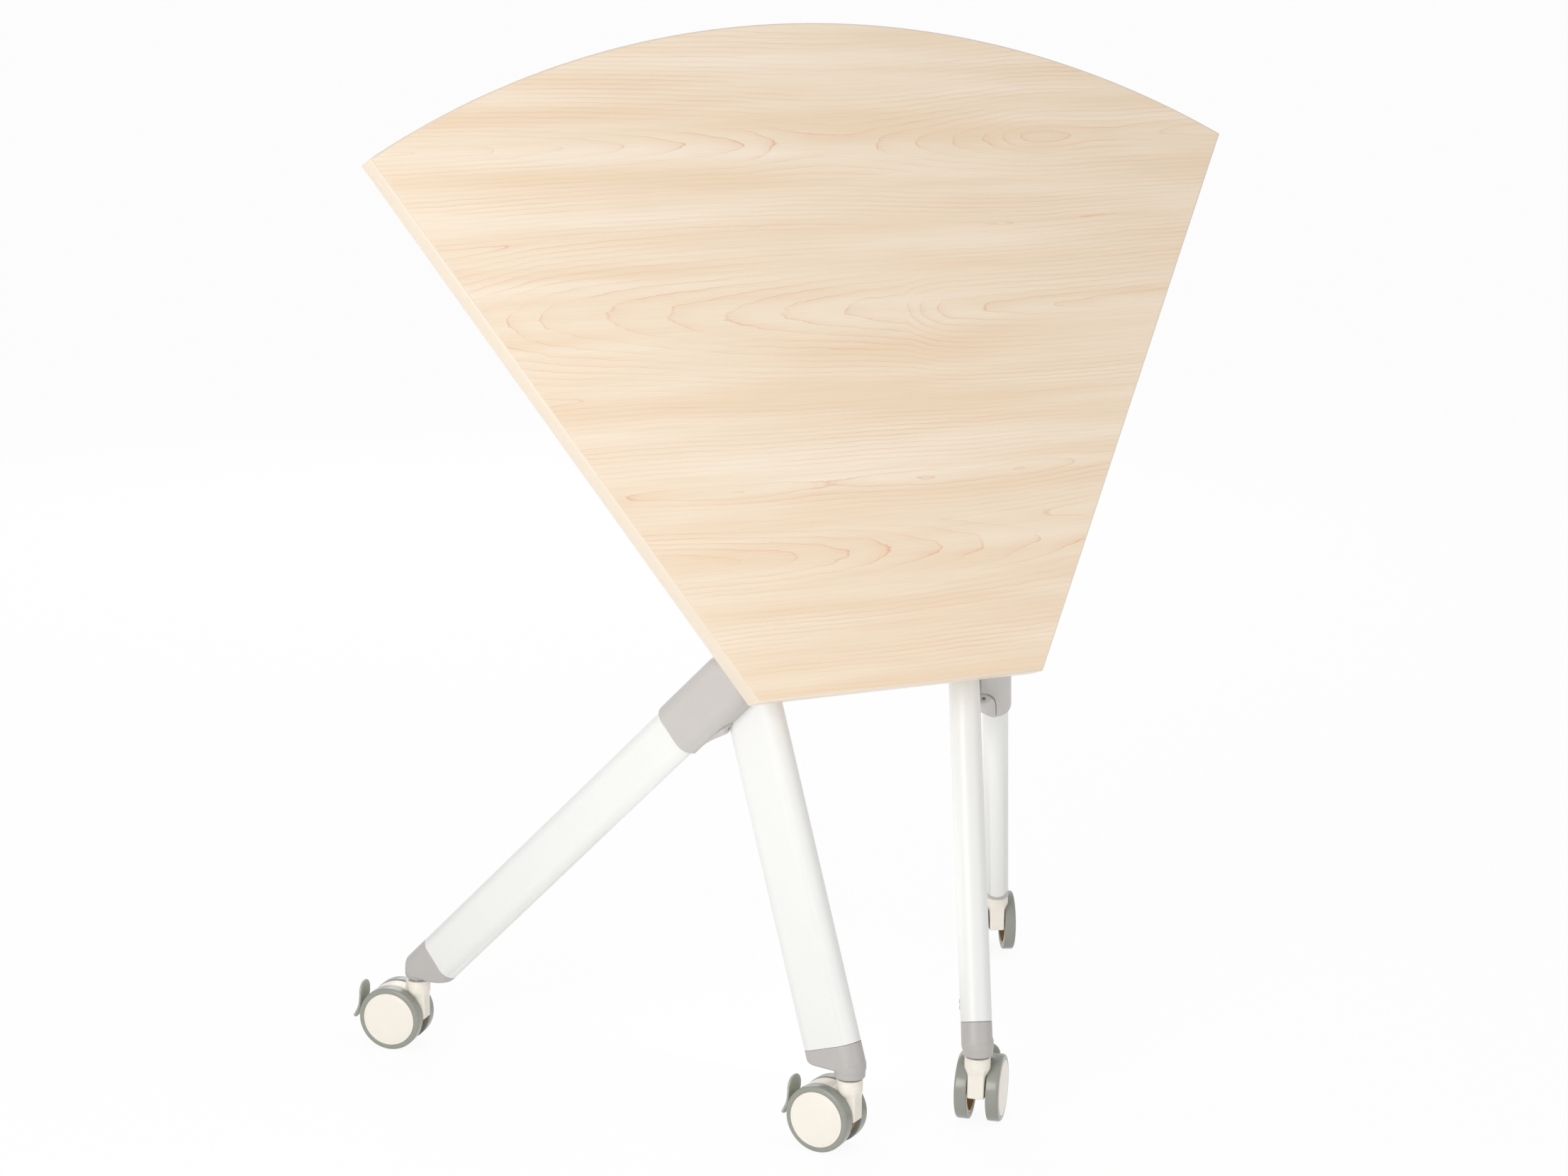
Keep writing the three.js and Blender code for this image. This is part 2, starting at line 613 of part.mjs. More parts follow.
addPiece(axis, 'catch_bracket', catchGeometry(), GREY_PAINT);

// Latch under the board: bracket, pin, release lever with its hook, torsion spring

const LEVER_Y = CATCH_REACH + LEVER_AXIS_BEHIND;
const LEVER_Z = UNDERSIDE - LEVER_AXIS_DROP;
const EAR_PLACE = (LATCH_EAR_SPACING + LATCH_EAR) / 2;

function latchBracketGeometry() {
  const high = UNDERSIDE - SEAT_GAP;
  const earRadius = 2 * PIN_RADIUS;
  const ear = polygon([
    [LEVER_Y - 2 * earRadius, high - LATCH_BASE / 2],
    [LEVER_Y - earRadius, LEVER_Z - earRadius],
    [LEVER_Y + earRadius, LEVER_Z - earRadius],
    [LEVER_Y + 2 * earRadius, high - LATCH_BASE / 2],
  ]);
  const base = new THREE.BoxGeometry(LATCH_BASE_WIDTH, 4 * earRadius, LATCH_BASE);
  base.translate(0, LEVER_Y, high - LATCH_BASE / 2);
  const body = joined(base, crosswise(ear, LATCH_EAR, EAR_PLACE), crosswise(ear, LATCH_EAR, -EAR_PLACE));
  const bore = crosswise(circle(PIN_RADIUS + SEAT_GAP, LEVER_Y, LEVER_Z), LATCH_BASE_WIDTH);
  return cut(body, bore);
}

function leverGeometry() {
  const throat = CATCH_BAR_RADIUS + RUN_GAP;
  const shankFront = CATCH_REACH + throat;
  const shankRear = shankFront + LEVER_HOOK;
  const jaw = CATCH_HEIGHT - throat;
  const eye = 2 * PIN_RADIUS + 1;
  const hook = polygon([
    [shankFront, LEVER_Z],
    [shankFront, jaw],
    [CATCH_REACH - RUN_GAP, jaw],
    [CATCH_REACH - RUN_GAP, jaw - LEVER_HOOK / 2],
    [shankRear, jaw - LEVER_HOOK],
    [shankRear, LEVER_Z],
  ]);
  const paddleTop = UNDERSIDE - LEVER_PADDLE_DROP;
  const paddleEnd = LEVER_Y + LEVER_PADDLE_LENGTH;
  const shoulder = LEVER_Y + LEVER_PADDLE_LENGTH / 3;
  const half = LEVER_PADDLE_WIDTH / 2;
  const neck = LEVER_WIDTH / 2;
  const outline = new THREE.Shape();
  outline.moveTo(-neck, shankFront);
  outline.lineTo(neck, shankFront);
  outline.lineTo(neck, shoulder - neck);
  outline.quadraticCurveTo(neck, shoulder, half, shoulder + neck);
  outline.lineTo(half, paddleEnd - neck);
  outline.quadraticCurveTo(half, paddleEnd, half - neck, paddleEnd);
  outline.lineTo(neck - half, paddleEnd);
  outline.quadraticCurveTo(-half, paddleEnd, -half, paddleEnd - neck);
  outline.lineTo(-half, shoulder + neck);
  outline.quadraticCurveTo(-neck, shoulder, -neck, shoulder - neck);
  outline.closePath();
  const body = joined(
    crosswise(hook, LEVER_WIDTH),
    crosswise(circle(eye, LEVER_Y, LEVER_Z), LEVER_WIDTH),
    upright(outline, paddleTop - LEVER_PADDLE_THICKNESS, paddleTop),
  );
  return cut(body, crosswise(circle(PIN_RADIUS + SEAT_GAP, LEVER_Y, LEVER_Z), 2 * LEVER_WIDTH));
}

// Helix about the pin, one unbroken wire
class SpringPath extends THREE.Curve {
  getPoint(t, target = new THREE.Vector3()) {
    const turn = 2 * Math.PI * SPRING_TURNS * t;
    const along = SPRING_PITCH * SPRING_TURNS * (t - 0.5);
    return target.set(along, SPRING_RADIUS * Math.cos(turn), SPRING_RADIUS * Math.sin(turn));
  }
}

function springGeometry() {
  const wire = circle(SPRING_WIRE / 2);
  const path = new SpringPath();
  const steps = SPRING_STEPS * SPRING_TURNS;
  const points = path.getPoints(steps);
  let leastGap = Infinity;
  for (let i = 0; i < points.length; i += 1) {
    for (let j = i + SPRING_STEPS / 2; j < points.length; j += 1) {
      leastGap = Math.min(leastGap, points[i].distanceTo(points[j]) - SPRING_WIRE);
    }
  }
  console.log(`latch spring: least gap between turns ${leastGap.toFixed(2)} mm`);
  const sweep = { extrudePath: path, steps, curveSegments: WIRE_FACETS, bevelEnabled: false };
  return new THREE.ExtrudeGeometry(wire, sweep);
}

addPiece(top, 'latch_bracket', latchBracketGeometry(), BRIGHT_STEEL);
addPiece(top, 'release_lever', leverGeometry(), SAGE_NYLON);
const pinLength = LATCH_EAR_SPACING + 2 * LATCH_EAR;
addPiece(top, 'lever_pin', crosswise(circle(PIN_RADIUS, LEVER_Y, LEVER_Z), pinLength), BRIGHT_STEEL);
const springPlace = (LEVER_WIDTH + LATCH_EAR_SPACING) / 4;
const spring = springGeometry().translate(springPlace, LEVER_Y, LEVER_Z);
addPiece(top, 'latch_spring', spring, BRIGHT_STEEL);

// Casters: local +X is the trailing direction, the axle lies along Y, the floor is Z = 0

const TYRE_OUTER = WHEEL_INNER + TYRE_WIDTH;
const HUB_OUTER = TYRE_OUTER + HUB_PROUD;
const HOUSING_TOP = BOSS_HEIGHT - HOUSING_GAP;
const BRAKE_AXIS_X = TRAIL + BRAKE_AXIS_BEHIND;
const BRAKE_AXIS_Z = WHEEL_RADIUS + BRAKE_AXIS_ABOVE;

function tyreGeometry() {
  const inner = HUB_RADIUS + SEAT_GAP;
  const softer = TYRE_SHOULDER / 3;
  return turned([
    [inner, WHEEL_INNER],
    [WHEEL_RADIUS - softer, WHEEL_INNER],
    [WHEEL_RADIUS, WHEEL_INNER + softer],
    [WHEEL_RADIUS, TYRE_OUTER - TYRE_SHOULDER],
    [WHEEL_RADIUS - softer, TYRE_OUTER - softer],
    [WHEEL_RADIUS - TYRE_SHOULDER, TYRE_OUTER],
    [inner, TYRE_OUTER],
    [inner, WHEEL_INNER],
  ], WHEEL_SEGMENTS);
}

function hubGeometry() {
  const bore = AXLE_RADIUS + SEAT_GAP;
  const web = HUB_OUTER - HUB_FACE;
  return turned([
    [0, web + HUB_FACE / 2],
    [bore, web + HUB_FACE / 2],
    [bore, WHEEL_INNER],
    [HUB_BOSS_RADIUS, WHEEL_INNER],
    [HUB_BOSS_RADIUS, web],
    [HUB_RADIUS - HUB_RIM, web],
    [HUB_RADIUS - HUB_RIM, WHEEL_INNER],
    [HUB_RADIUS, WHEEL_INNER],
    [HUB_RADIUS, HUB_OUTER - HUB_PROUD],
    [HUB_RADIUS - HUB_PROUD, HUB_OUTER - HUB_PROUD / 3],
    [0, HUB_OUTER],
  ], WHEEL_SEGMENTS);
}

function stemGeometry() {
  const collarTop = BOSS_HEIGHT - SEAT_GAP;
  const collarLow = HOUSING_TOP + SEAT_GAP;
  return turnedUpright([
    [0, HOUSING_TOP - STEM_IN_HOUSING],
    [STEM_RADIUS, HOUSING_TOP - STEM_IN_HOUSING],
    [STEM_RADIUS, collarLow],
    [STEM_COLLAR_RADIUS, collarLow],
    [STEM_COLLAR_RADIUS, collarTop],
    [STEM_RADIUS, collarTop],
    [STEM_RADIUS, BOSS_HEIGHT + STEM_IN_BOSS],
    [0, BOSS_HEIGHT + STEM_IN_BOSS],
  ], STEM_SEGMENTS);
}

// A bottle-shaped neck round the stem, a hood plate over the axle between the wheels, and two cheeks
// at its tail that hold the brake pin
function housingGeometry() {
  const half = NECK_WIDTH / 2;
  const slope = HOUSING_RADIUS - half;
  const neckLow = HOUSING_TOP - 2 * HOUSING_RADIUS;
  const neck = turnedUpright([
    [0, neckLow],
    [half, neckLow],
    ...NECK_PROFILE.map(([share, drop]) => [half + share * slope, HOUSING_TOP - drop]),
    [0, HOUSING_TOP],
  ], LATHE_SEGMENTS);
  const boss = 2 * AXLE_RADIUS;
  const tailX = TRAIL + HOOD_RADIUS * Math.cos(HOOD_TAIL_ANGLE);
  const tailZ = WHEEL_RADIUS + HOOD_RADIUS * Math.sin(HOOD_TAIL_ANGLE);
  const plate = new THREE.Shape();
  plate.moveTo(-NECK_FRONT, NECK_BOTTOM);
  plate.lineTo(TRAIL - boss, WHEEL_RADIUS - boss / 2);
  plate.lineTo(TRAIL, WHEEL_RADIUS - boss);
  plate.lineTo(TRAIL + boss, WHEEL_RADIUS - boss / 2);
  plate.lineTo(tailX - boss, tailZ - boss / 2);
  const hoodFront = Math.PI - Math.acos(TRAIL / HOOD_RADIUS);
  plate.absarc(TRAIL, WHEEL_RADIUS, HOOD_RADIUS, HOOD_TAIL_ANGLE, hoodFront, false);
  plate.lineTo(-NECK_FRONT, HOUSING_TOP - NECK_SHOULDER);
  plate.closePath();
  const clear = WHEEL_RADIUS + 2 * RUN_GAP;
  const drumWidth = 2 * TYRE_OUTER;
  const drumPlace = half + RUN_GAP / 2 + drumWidth / 2;
  const slot = new THREE.Shape();
  slot.absarc(BRAKE_AXIS_X, BRAKE_AXIS_Z, 2 * BRAKE_THICKNESS, Math.PI / 2, 1.5 * Math.PI, false);
  slot.lineTo(TRAIL + 2 * HOOD_RADIUS, BRAKE_AXIS_Z - 2 * HOOD_RADIUS);
  slot.lineTo(TRAIL + 2 * HOOD_RADIUS, BRAKE_AXIS_Z + 2 * BRAKE_THICKNESS);
  slot.closePath();
  const shell = cut(
    joined(neck, sideways(plate, NECK_WIDTH, 0, HOOD_FACETS)),
    sideways(circle(clear, TRAIL, WHEEL_RADIUS), drumWidth, drumPlace, DRUM_FACETS),
    sideways(circle(clear, TRAIL, WHEEL_RADIUS), drumWidth, -drumPlace, DRUM_FACETS),
    sideways(circle(AXLE_RADIUS + SEAT_GAP, TRAIL, WHEEL_RADIUS), 2 * NECK_WIDTH),
    upright(circle(STEM_RADIUS + SEAT_GAP), HOUSING_TOP - STEM_IN_HOUSING - SEAT_GAP, BOSS_HEIGHT),
    sideways(slot, BRAKE_TONGUE + 2 * RUN_GAP),
  );
  const pin = sideways(circle(BRAKE_PIN_RADIUS, BRAKE_AXIS_X, BRAKE_AXIS_Z), BRAKE_TONGUE + 4 * RUN_GAP);
  return joined(shell, pin);
}

// Brake lever: an upright paddle with a flared lower lip, on a tongue between the hood's cheeks
function brakeGeometry() {
  const high = BRAKE_TOP;
  const back = TRAIL + HOOD_RADIUS + RUN_GAP;
  const lipX = back + BRAKE_LIP_REACH;
  const bend = (high + BRAKE_LIP_HEIGHT) / 2;
  const thick = BRAKE_THICKNESS;
  const profile = new THREE.Shape();
  profile.moveTo(back, high);
  profile.lineTo(back, bend);
  profile.quadraticCurveTo(back, BRAKE_LIP_HEIGHT + thick, lipX - thick / 2, BRAKE_LIP_HEIGHT);
  profile.lineTo(lipX, BRAKE_LIP_HEIGHT + thick / 2);
  profile.quadraticCurveTo(back + thick, BRAKE_LIP_HEIGHT + 2 * thick, back + thick, bend);
  profile.lineTo(back + thick, high);
  profile.closePath();
  const half = BRAKE_WIDTH / 2;
  const low = BRAKE_LIP_HEIGHT - thick;
  const face = new THREE.Shape();
  face.moveTo(-BRAKE_LIP_WIDTH / 2, low);
  face.lineTo(BRAKE_LIP_WIDTH / 2, low);
  face.lineTo(BRAKE_LIP_WIDTH / 2, bend - thick);
  face.absarc(0, high - half, half, 0, Math.PI, false);
  face.lineTo(-BRAKE_LIP_WIDTH / 2, bend - thick);
  face.closePath();
  const paddle = common(sideways(profile, BRAKE_WIDTH), crosswise(face, 4 * BRAKE_WIDTH, back));
  const eye = BRAKE_PIN_RADIUS + BRAKE_THICKNESS / 2;
  const tongue = polygon([
    [BRAKE_AXIS_X, BRAKE_AXIS_Z - eye],
    [back + thick / 2, BRAKE_AXIS_Z - eye],
    [back + thick / 2, BRAKE_AXIS_Z + eye],
    [BRAKE_AXIS_X, BRAKE_AXIS_Z + eye],
  ]);
  const body = joined(
    paddle,
    sideways(tongue, BRAKE_TONGUE),
    sideways(circle(eye, BRAKE_AXIS_X, BRAKE_AXIS_Z), BRAKE_TONGUE),
  );
  const bore = circle(BRAKE_PIN_RADIUS + SEAT_GAP, BRAKE_AXIS_X, BRAKE_AXIS_Z);
  return cut(body, sideways(bore, 2 * BRAKE_WIDTH));
}

for (const [place, point] of Object.entries(stemPoints)) {
  const caster = new THREE.Group();
  caster.position.set(point.x, point.y, 0);
  caster.rotation.z = CASTER_SWIVEL[place];
  table.add(caster);
  addPiece(caster, `caster_stem_${place}`, stemGeometry(), BRIGHT_STEEL);
  addPiece(caster, `caster_housing_${place}`, housingGeometry(), CREAM_NYLON);
  addPiece(caster, `brake_lever_${place}`, brakeGeometry(), SAGE_NYLON);
  const axleLength = 2 * (HUB_OUTER - HUB_FACE);
  const axle = sideways(circle(AXLE_RADIUS, TRAIL, WHEEL_RADIUS), axleLength);
  addPiece(caster, `axle_${place}`, axle, BRIGHT_STEEL);
  for (const [mark, turn] of [['a', 0], ['b', Math.PI]]) {
    const wheel = new THREE.Group();
    wheel.position.set(TRAIL, 0, WHEEL_RADIUS);
    wheel.rotation.z = turn;
    caster.add(wheel);
    addPiece(wheel, `tyre_${mark}_${place}`, tyreGeometry(), SAGE_TYRE);
    addPiece(wheel, `hub_${mark}_${place}`, hubGeometry(), CREAM_NYLON);
  }
}

// The origin lies on the floor under the middle of the whole table
table.updateWorldMatrix(true, true);
const box = new THREE.Box3().setFromObject(table, true);
table.position.y = -(box.min.y + box.max.y) / 2;

export default table;
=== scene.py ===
"""Looks of the flip top training table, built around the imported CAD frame.

Sizes in the code are millimetres in the CAD frame and turn to metres where a mesh is made.
"""

import json
import math

import bmesh
import bpy
import numpy as np
from bpy.props import FloatProperty, FloatVectorProperty, PointerProperty
from bpy.types import Operator, Panel, PropertyGroup
from mathutils import Matrix, Vector

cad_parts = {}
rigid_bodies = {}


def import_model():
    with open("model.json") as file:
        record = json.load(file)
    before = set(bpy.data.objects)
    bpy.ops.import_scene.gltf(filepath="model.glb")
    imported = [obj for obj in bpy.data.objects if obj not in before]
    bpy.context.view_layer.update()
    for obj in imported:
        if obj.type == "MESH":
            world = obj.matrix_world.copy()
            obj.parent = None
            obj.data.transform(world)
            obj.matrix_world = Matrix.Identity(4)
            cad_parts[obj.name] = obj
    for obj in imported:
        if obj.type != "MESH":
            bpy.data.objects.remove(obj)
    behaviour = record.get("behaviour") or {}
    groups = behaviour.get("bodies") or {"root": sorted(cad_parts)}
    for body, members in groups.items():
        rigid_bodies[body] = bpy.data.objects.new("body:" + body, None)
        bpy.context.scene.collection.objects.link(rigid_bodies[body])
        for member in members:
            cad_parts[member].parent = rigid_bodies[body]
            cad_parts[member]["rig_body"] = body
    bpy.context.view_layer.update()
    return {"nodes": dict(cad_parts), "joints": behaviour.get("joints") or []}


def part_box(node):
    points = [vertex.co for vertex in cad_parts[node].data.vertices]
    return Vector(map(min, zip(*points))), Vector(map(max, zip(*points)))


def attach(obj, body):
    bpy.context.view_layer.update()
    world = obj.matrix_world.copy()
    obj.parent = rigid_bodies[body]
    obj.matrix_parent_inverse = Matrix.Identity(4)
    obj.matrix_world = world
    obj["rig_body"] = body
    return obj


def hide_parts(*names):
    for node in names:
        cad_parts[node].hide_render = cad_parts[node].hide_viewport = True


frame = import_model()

bl_info = {
    "name": "Flip Top Training Table",
    "version": (1, 0, 0),
    "blender": (4, 5, 0),
    "location": "View3D > Sidebar > Training Table",
    "description": "Dresses the CAD frame of a flip top training table and sets its stage",
    "category": "Object",
}

MM = 0.001
JOINTS = {joint["name"]: joint for joint in frame["joints"]}
NODES = frame["nodes"]
SIDES = (("left", 1), ("right", -1))
CASTERS = ("front_left", "rear_left", "front_right", "rear_right")

# Board, in axes at the flip pivot: X along the short edge, Y to the curved edge, Z out of the laminate
PIVOT = np.array(JOINTS["top_flip"]["pos_m"]) / MM
FLIP_ANGLE = -math.radians(JOINTS["top_flip"]["range_deg"][0])
OUTER_RADIUS = 900.0
INNER_RADIUS = 300.0
HALF_ANGLE = math.radians(30)
SHORT_EDGE = -280.0
UNDERSIDE = 55.0
LAMINATE = 80.0
BAND = 2.0
ARC_STEPS = 160

# Side frames, as the CAD source lays them out
HEAD_SPACING = 287.8
FRAME_BASE = 68.0
FRAME_YAW = math.radians(28.5)
FRAME_LEAN = math.radians(3)
MAIN_RAKE = math.radians(18.8)
REAR_RISE = math.radians(44.2)
REAR_AXIS = 503.0
FRONT_STEM_AHEAD = 10.2
REAR_STEM_AHEAD = 2.4

# Tubes: for each leg the width and depth of its flat oval, and how far up the leg's axis it starts
TUBES = {"main": ((60.0, 30.0), 33.0), "rear": ((50.0, 25.0), 45.5)}
TUBE_TOP_GAP = 25.0
TUBE_WALL = 2.0
TUBE_EASE = 0.4
TUBE_TUCK = 0.985
OVAL_STEPS = 48
BEAM_RADII = (17.0, 19.0)

# Feet: the end, its leg, the boss's radius, the cap's underside, the side of its round, a point inside
FEET = (
    ("front", "main", 14.7, 8.6, -1, (14.0, 0.0, 14.0)),
    ("rear", "rear", 11.5, 4.2, 1, (-8.0, 0.0, 12.0)),
)
FOOT_GAP = 0.3
FOOT_SKIN = 2.0
BOSS_HEIGHT = 71.5
BOSS_LIFT = 2.3

# Knuckles and their covers. The swell is a radius, a shift towards the main leg and a drop; the hole is
# a radius, a depth and a distance down the cover's end
KNUCKLE = (55.0, 31.0)
KNUCKLE_LENGTH = 79.4
KNUCKLE_OFFSET = 30.8
CORNER_START = 18.0
CORNER_RUN = 26.0
COVER_LENGTH = 48.0
COVER_ARCH = 26.0
COVER_REACH = 9.0
COVER_GAP = 0.35
COVER_SWELL = (11.0, 12.0, 23.8)
COVER_HOLE = (1.6, 4.0, 5.6)
COVER_TILT = math.radians(17)
COVER_END_SLOPE = math.radians(26)

# Wheels, in axes at the axle's middle
WHEEL_RADIUS = 32.5
WHEEL_INNER = 9.2
TYRE_OUTER = 21.5
TYRE_MIDDLE = 14.0
HUB_RADIUS = 27.1
HUB_OUTER = 22.5
HUB_WEB = 3.0
HUB_WALL = 2.5
HUB_BORE = 4.3
HUB_BOSS = 7.0
HUB_DOME = 0.5

# Caster housing, in axes where X trails from the stem and Z = 0 is the floor. The lower edge of its hood
# is a line of X and Z
TRAIL = 24.0
HOUSING_TOP = 71.4
HOUSING_HALF = 8.0
NECK_FOOT = 44.0
NECK_START = 49.0
NECK_RUN = 12.5
NECK_SWELL = 4.5
HOOD_RADIUS = 32.0
HOOD_FRONT = -10.5
HOOD_LOWER = (
    (-12.0, 31.0), (14.0, 29.0), (20.0, 25.5), (24.0, 24.5), (28.0, 25.5), (34.0, 29.0), (58.0, 40.0),
)
WHEEL_ROOM = 33.6
STEM = (
    (0.02, 54.0), (5.5, 54.0), (5.5, 71.7), (8.5, 71.7), (8.5, 73.4), (5.5, 73.4), (5.5, 93.0),
    (0.02, 93.0),
)

# Brake lever: its middle line in X and Z, half widths at shares of that line, the lengths of its round
# ends, and a tongue of X and half height
BRAKE_LINE = ((59.3, 64.2), (59.4, 43.0), (69.1, 24.8))
BRAKE_BEND = 13.0
BRAKE_SHARES = (0, 0.4, 0.72, 1)
BRAKE_HALF_WIDTHS = (12.0, 12.0, 8.8, 7.8)
BRAKE_HALF_THICK = 2.0
BRAKE_DISH = 0.9
BRAKE_ENDS = (11.0, 3.0)
TONGUE = ((46.5, 2.6), (47.5, 3.6), (58.0, 3.6), (59.4, 2.6))
TONGUE_HEIGHT = 40.5
TONGUE_HALF = 3.0

# Screws: a head is a radius and a rise. Foot screws sit up the main leg, the others under the board
FOOT_SCREWS = (46.5, 52.0)
FOOT_SCREW_HEAD = (2.6, 0.9)
BOARD_SCREW_HEAD = (3.6, 1.8)
SCREW_SKIRT = 0.6
BRACKET_SPACING = 204.0
BRACKET_FACE = 49.7
BRACKET_SCREWS = (17.5, -45.0, 65.0)
LATCH_FACE = 51.7
LATCH_SCREWS = 25.0

# Maple decor: for each flat-cut band its middle across the board, and the heart's depth under the face
# as a share of the deepest, at shares of the board's length
MAPLE_DEPTH = 70.0
MAPLE_SWAY = 30.0
MAPLE_HEARTS = (
    (244, (
        (0, 0.02), (0.14, 0.07), (0.41, 0.4), (0.5, 0.48), (0.58, 0.43), (0.71, 0.2), (0.77, 0),
        (0.84, 0.22), (1, 0),
    )),
    (77, ((0, 0.95), (0.16, 0.78), (0.57, 0.3), (0.62, 0.22), (0.87, 0), (1, 0.14))),
    (-85, (
        (0, 0.1), (0.22, 0.13), (0.34, 0), (0.45, 0.15), (0.56, 0), (0.63, 0.12), (0.68, 0), (0.76, 0.14),
        (1, 0.2),
    )),
    (-150, ((0, 0.04), (0.34, 0.1), (0.67, 0.6), (1, 0.7))),
)

# Width of the mottling in paint and plastic, and the span that holds most of a noise's values
MOTTLE_WIDTH = 35.0
NOISE_LOW, NOISE_HIGH = 0.3, 0.7

# Sockets of the Mix node in its colour mode, where their names repeat
MIX_FACTOR, MIX_A, MIX_B, MIX_RESULT = 0, 6, 7, 2

# Finishes other than maple: the material, its colour, roughness, the ripple's width in millimetres or a
# named size, its depth in millimetres, the mottling, plain shader values, and a colour of painted shade
# for the inside
FINISHES = {
    # Extruded ABS strip with an eggshell skin: an even cream that takes one soft light along its edges
    "band": ("abs_edge_band", "band", 0.3, 1.2, 0.01, 0.01, {"IOR": 1.5}),
    # Polyester powder baked on steel: clean satin white, its gloss broken by the ripple of orange peel
    "powder": ("white_powder_coat", "powder_coat", 0.38, "orange_peel", 0.03, 0.006, {"IOR": 1.5}),
    # Die-cast zinc under sprayed paint: warm grey with a fine grain that spreads each highlight
    "casting": ("grey_painted_casting", "casting", 0.36, "casting_grit", 0.03, 0.018, {"IOR": 1.5}),
    # The same paint on the feet, with less gloss; its darker grey is painted shade on the feet
    "foot": ("grey_painted_foot", "foot", 0.42, "casting_grit", 0.03, 0.018, {"IOR": 1.5}),
    # Nylon from a polished mould: dense cream with small clear highlights; the tan inside the disc is
    # painted shade
    "nylon": ("cream_moulded_nylon", "nylon", 0.3, 3.0, 0.01, 0.008, {"IOR": 1.53}, "wheel_inside"),
    # Polyurethane cast round the rim: green-grey, with the bright bands of light of a smooth tread
    "tyre": ("grey_polyurethane_tread", "tyre", 0.24, 4.0, 0.02, 0.03, {"IOR": 1.5}),
    # Glass-filled nylon, moulded: satin grey, slightly cloudy from its fibres
    "lever": ("grey_filled_nylon", "lever", 0.36, 1.0, 0.015, 0.025, {"IOR": 1.53}),
    # Mild steel with bright zinc plating: a cool blurred mirror with a cloudy bloom
    "steel": ("zinc_plated_steel", "steel", 0.34, 1.4, 0.01, 0.06, {"Metallic": 1.0}),
    # Moulded natural rubber: nearly black and matt, with a dull sheen at most
    "rubber": ("black_rubber", "rubber", 0.75, 1.2, 0.03, 0.08, {"IOR": 1.52}),
}
MADE_FINISHES = {}

# Stage: lamps with their place, target and size in metres and power in watts, the camera of the photo
LAMPS = (
    ("key_light", (-1.6, -1.25, 0.9), (0, 0, 0.6), 1.1, 18),
    ("fill_light", (0.9, -1.9, 0.5), (0.25, 0.2, 0.35), 0.8, 3),
    ("low_light", (-0.1, -0.05, 0.12), (0.27, 0.25, 0.35), 0.3, 0.3),
    ("back_light", (0.8, 3.2, 2.2), (0, 0, 0.4), 2.4, 30),
)
SKY_LEVEL = 0.64
FLOOR_COLOUR = "#FAFAF9"
FLOOR_GLOW = 0.93
FLOOR_REACH = 60000.0
FLOOR_DEPTH = 40.0
CAMERA_EYE = (-1371.0, PIVOT[1] - 2694.55, 1152.9)
CAMERA_YAW, CAMERA_PITCH, CAMERA_ROLL = 0.4586, 0.2145, 0.0081
CAMERA_SENSOR, CAMERA_LENS = 36.0, 72.92
CAMERA_REACH = 200.0


def linear(code):
    """Linear RGBA of an sRGB hex colour."""
    srgb = np.array([int(code[i:i + 2], 16) for i in (1, 3, 5)]) / 255
    flat = np.where(srgb <= 0.04045, srgb / 12.92, ((srgb + 0.055) / 1.055) ** 2.4)
    return (*map(float, flat), 1.0)


def colour(code, name, description):
    """Property of a colour, from its sRGB hex value."""
    return FloatVectorProperty(
        name=name, description=description, default=linear(code), size=4, min=0, max=1, subtype="COLOR"
    )


def length(millimetres, name, description):
    """Property of a length, from millimetres."""
    return FloatProperty(
        name=name, description=description, default=millimetres * MM, min=0, unit="LENGTH",
        subtype="DISTANCE",
    )


class TableSizes(PropertyGroup):
    """Roundings and pattern sizes that the CAD solids leave open."""

    band_edge: length(1.9, "Band edge", "Radius on the outer edges of the edge band")
    casting_edge: length(1.6, "Casting edge", "Radius on the edges of feet and knuckles")
    moulding_edge: length(0.8, "Moulding edge", "Radius on the edges of nylon mouldings")
    bracket_edge: length(0.7, "Bracket edge", "Bevel on the edges of the brackets under the board")
    # Real fibres and paint grain are finer, and are drawn as coarse as they need to show in a render
    grain_ring: length(4.4, "Growth ring", "Spacing of the maple's growth rings in the log")
    fibre: length(0.9, "Fibre", "Width of the maple's fibres")
    orange_peel: length(2.2, "Orange peel", "Width of the ripples in the powder coat")
    casting_grit: length(1.1, "Casting grit", "Width of the grain in the painted castings")


class TableColours(PropertyGroup):
    """Colours of the finishes, as they look under plain light."""

    maple_light: colour("#F3E4D0", "Maple, light", "Early wood of the maple laminate")
    maple_dark: colour("#ECD5B9", "Maple, dark", "Broad darker bands of the laminate")
    maple_ring: colour("#DDA782", "Maple, ring", "Growth ring lines of the laminate")
    band: colour("#E6D7C4", "Edge band", "Cream edge band")
    powder_coat: colour("#E7E7E5", "Powder coat", "White paint of the tubes")
    casting: colour("#BFBBB8", "Casting", "Grey paint of the castings")
    # Darker than the casting grey of the same paint: painted shade on the feet
    foot: colour("#B3B0AD", "Foot", "Grey paint of the feet")
    nylon: colour("#ECE6DB", "Cream nylon", "Caster housings and wheel discs")
    # Tan painted shade on the inside of the wheel discs, standing in for the warm shade there
    wheel_inside: colour("#D9BB8C", "Wheel inside", "Bare nylon on the inside of the wheel discs")
    tyre: colour("#92948B", "Tyre", "Grey tread of the wheels")
    lever: colour("#ABAEA2", "Lever", "Grey nylon of the levers")
    steel: colour("#B9BBBD", "Steel", "Zinc-plated stems, pins and brackets")
    rubber: colour("#2A2A2B", "Rubber", "Bumpers under the board")


class TableSettings(PropertyGroup):
    """Everything that a user would change."""

    sizes: PointerProperty(type=TableSizes)
    colours: PointerProperty(type=TableColours)


def settings():
    """The scene's own sizes and colours."""
    return bpy.context.scene.training_table


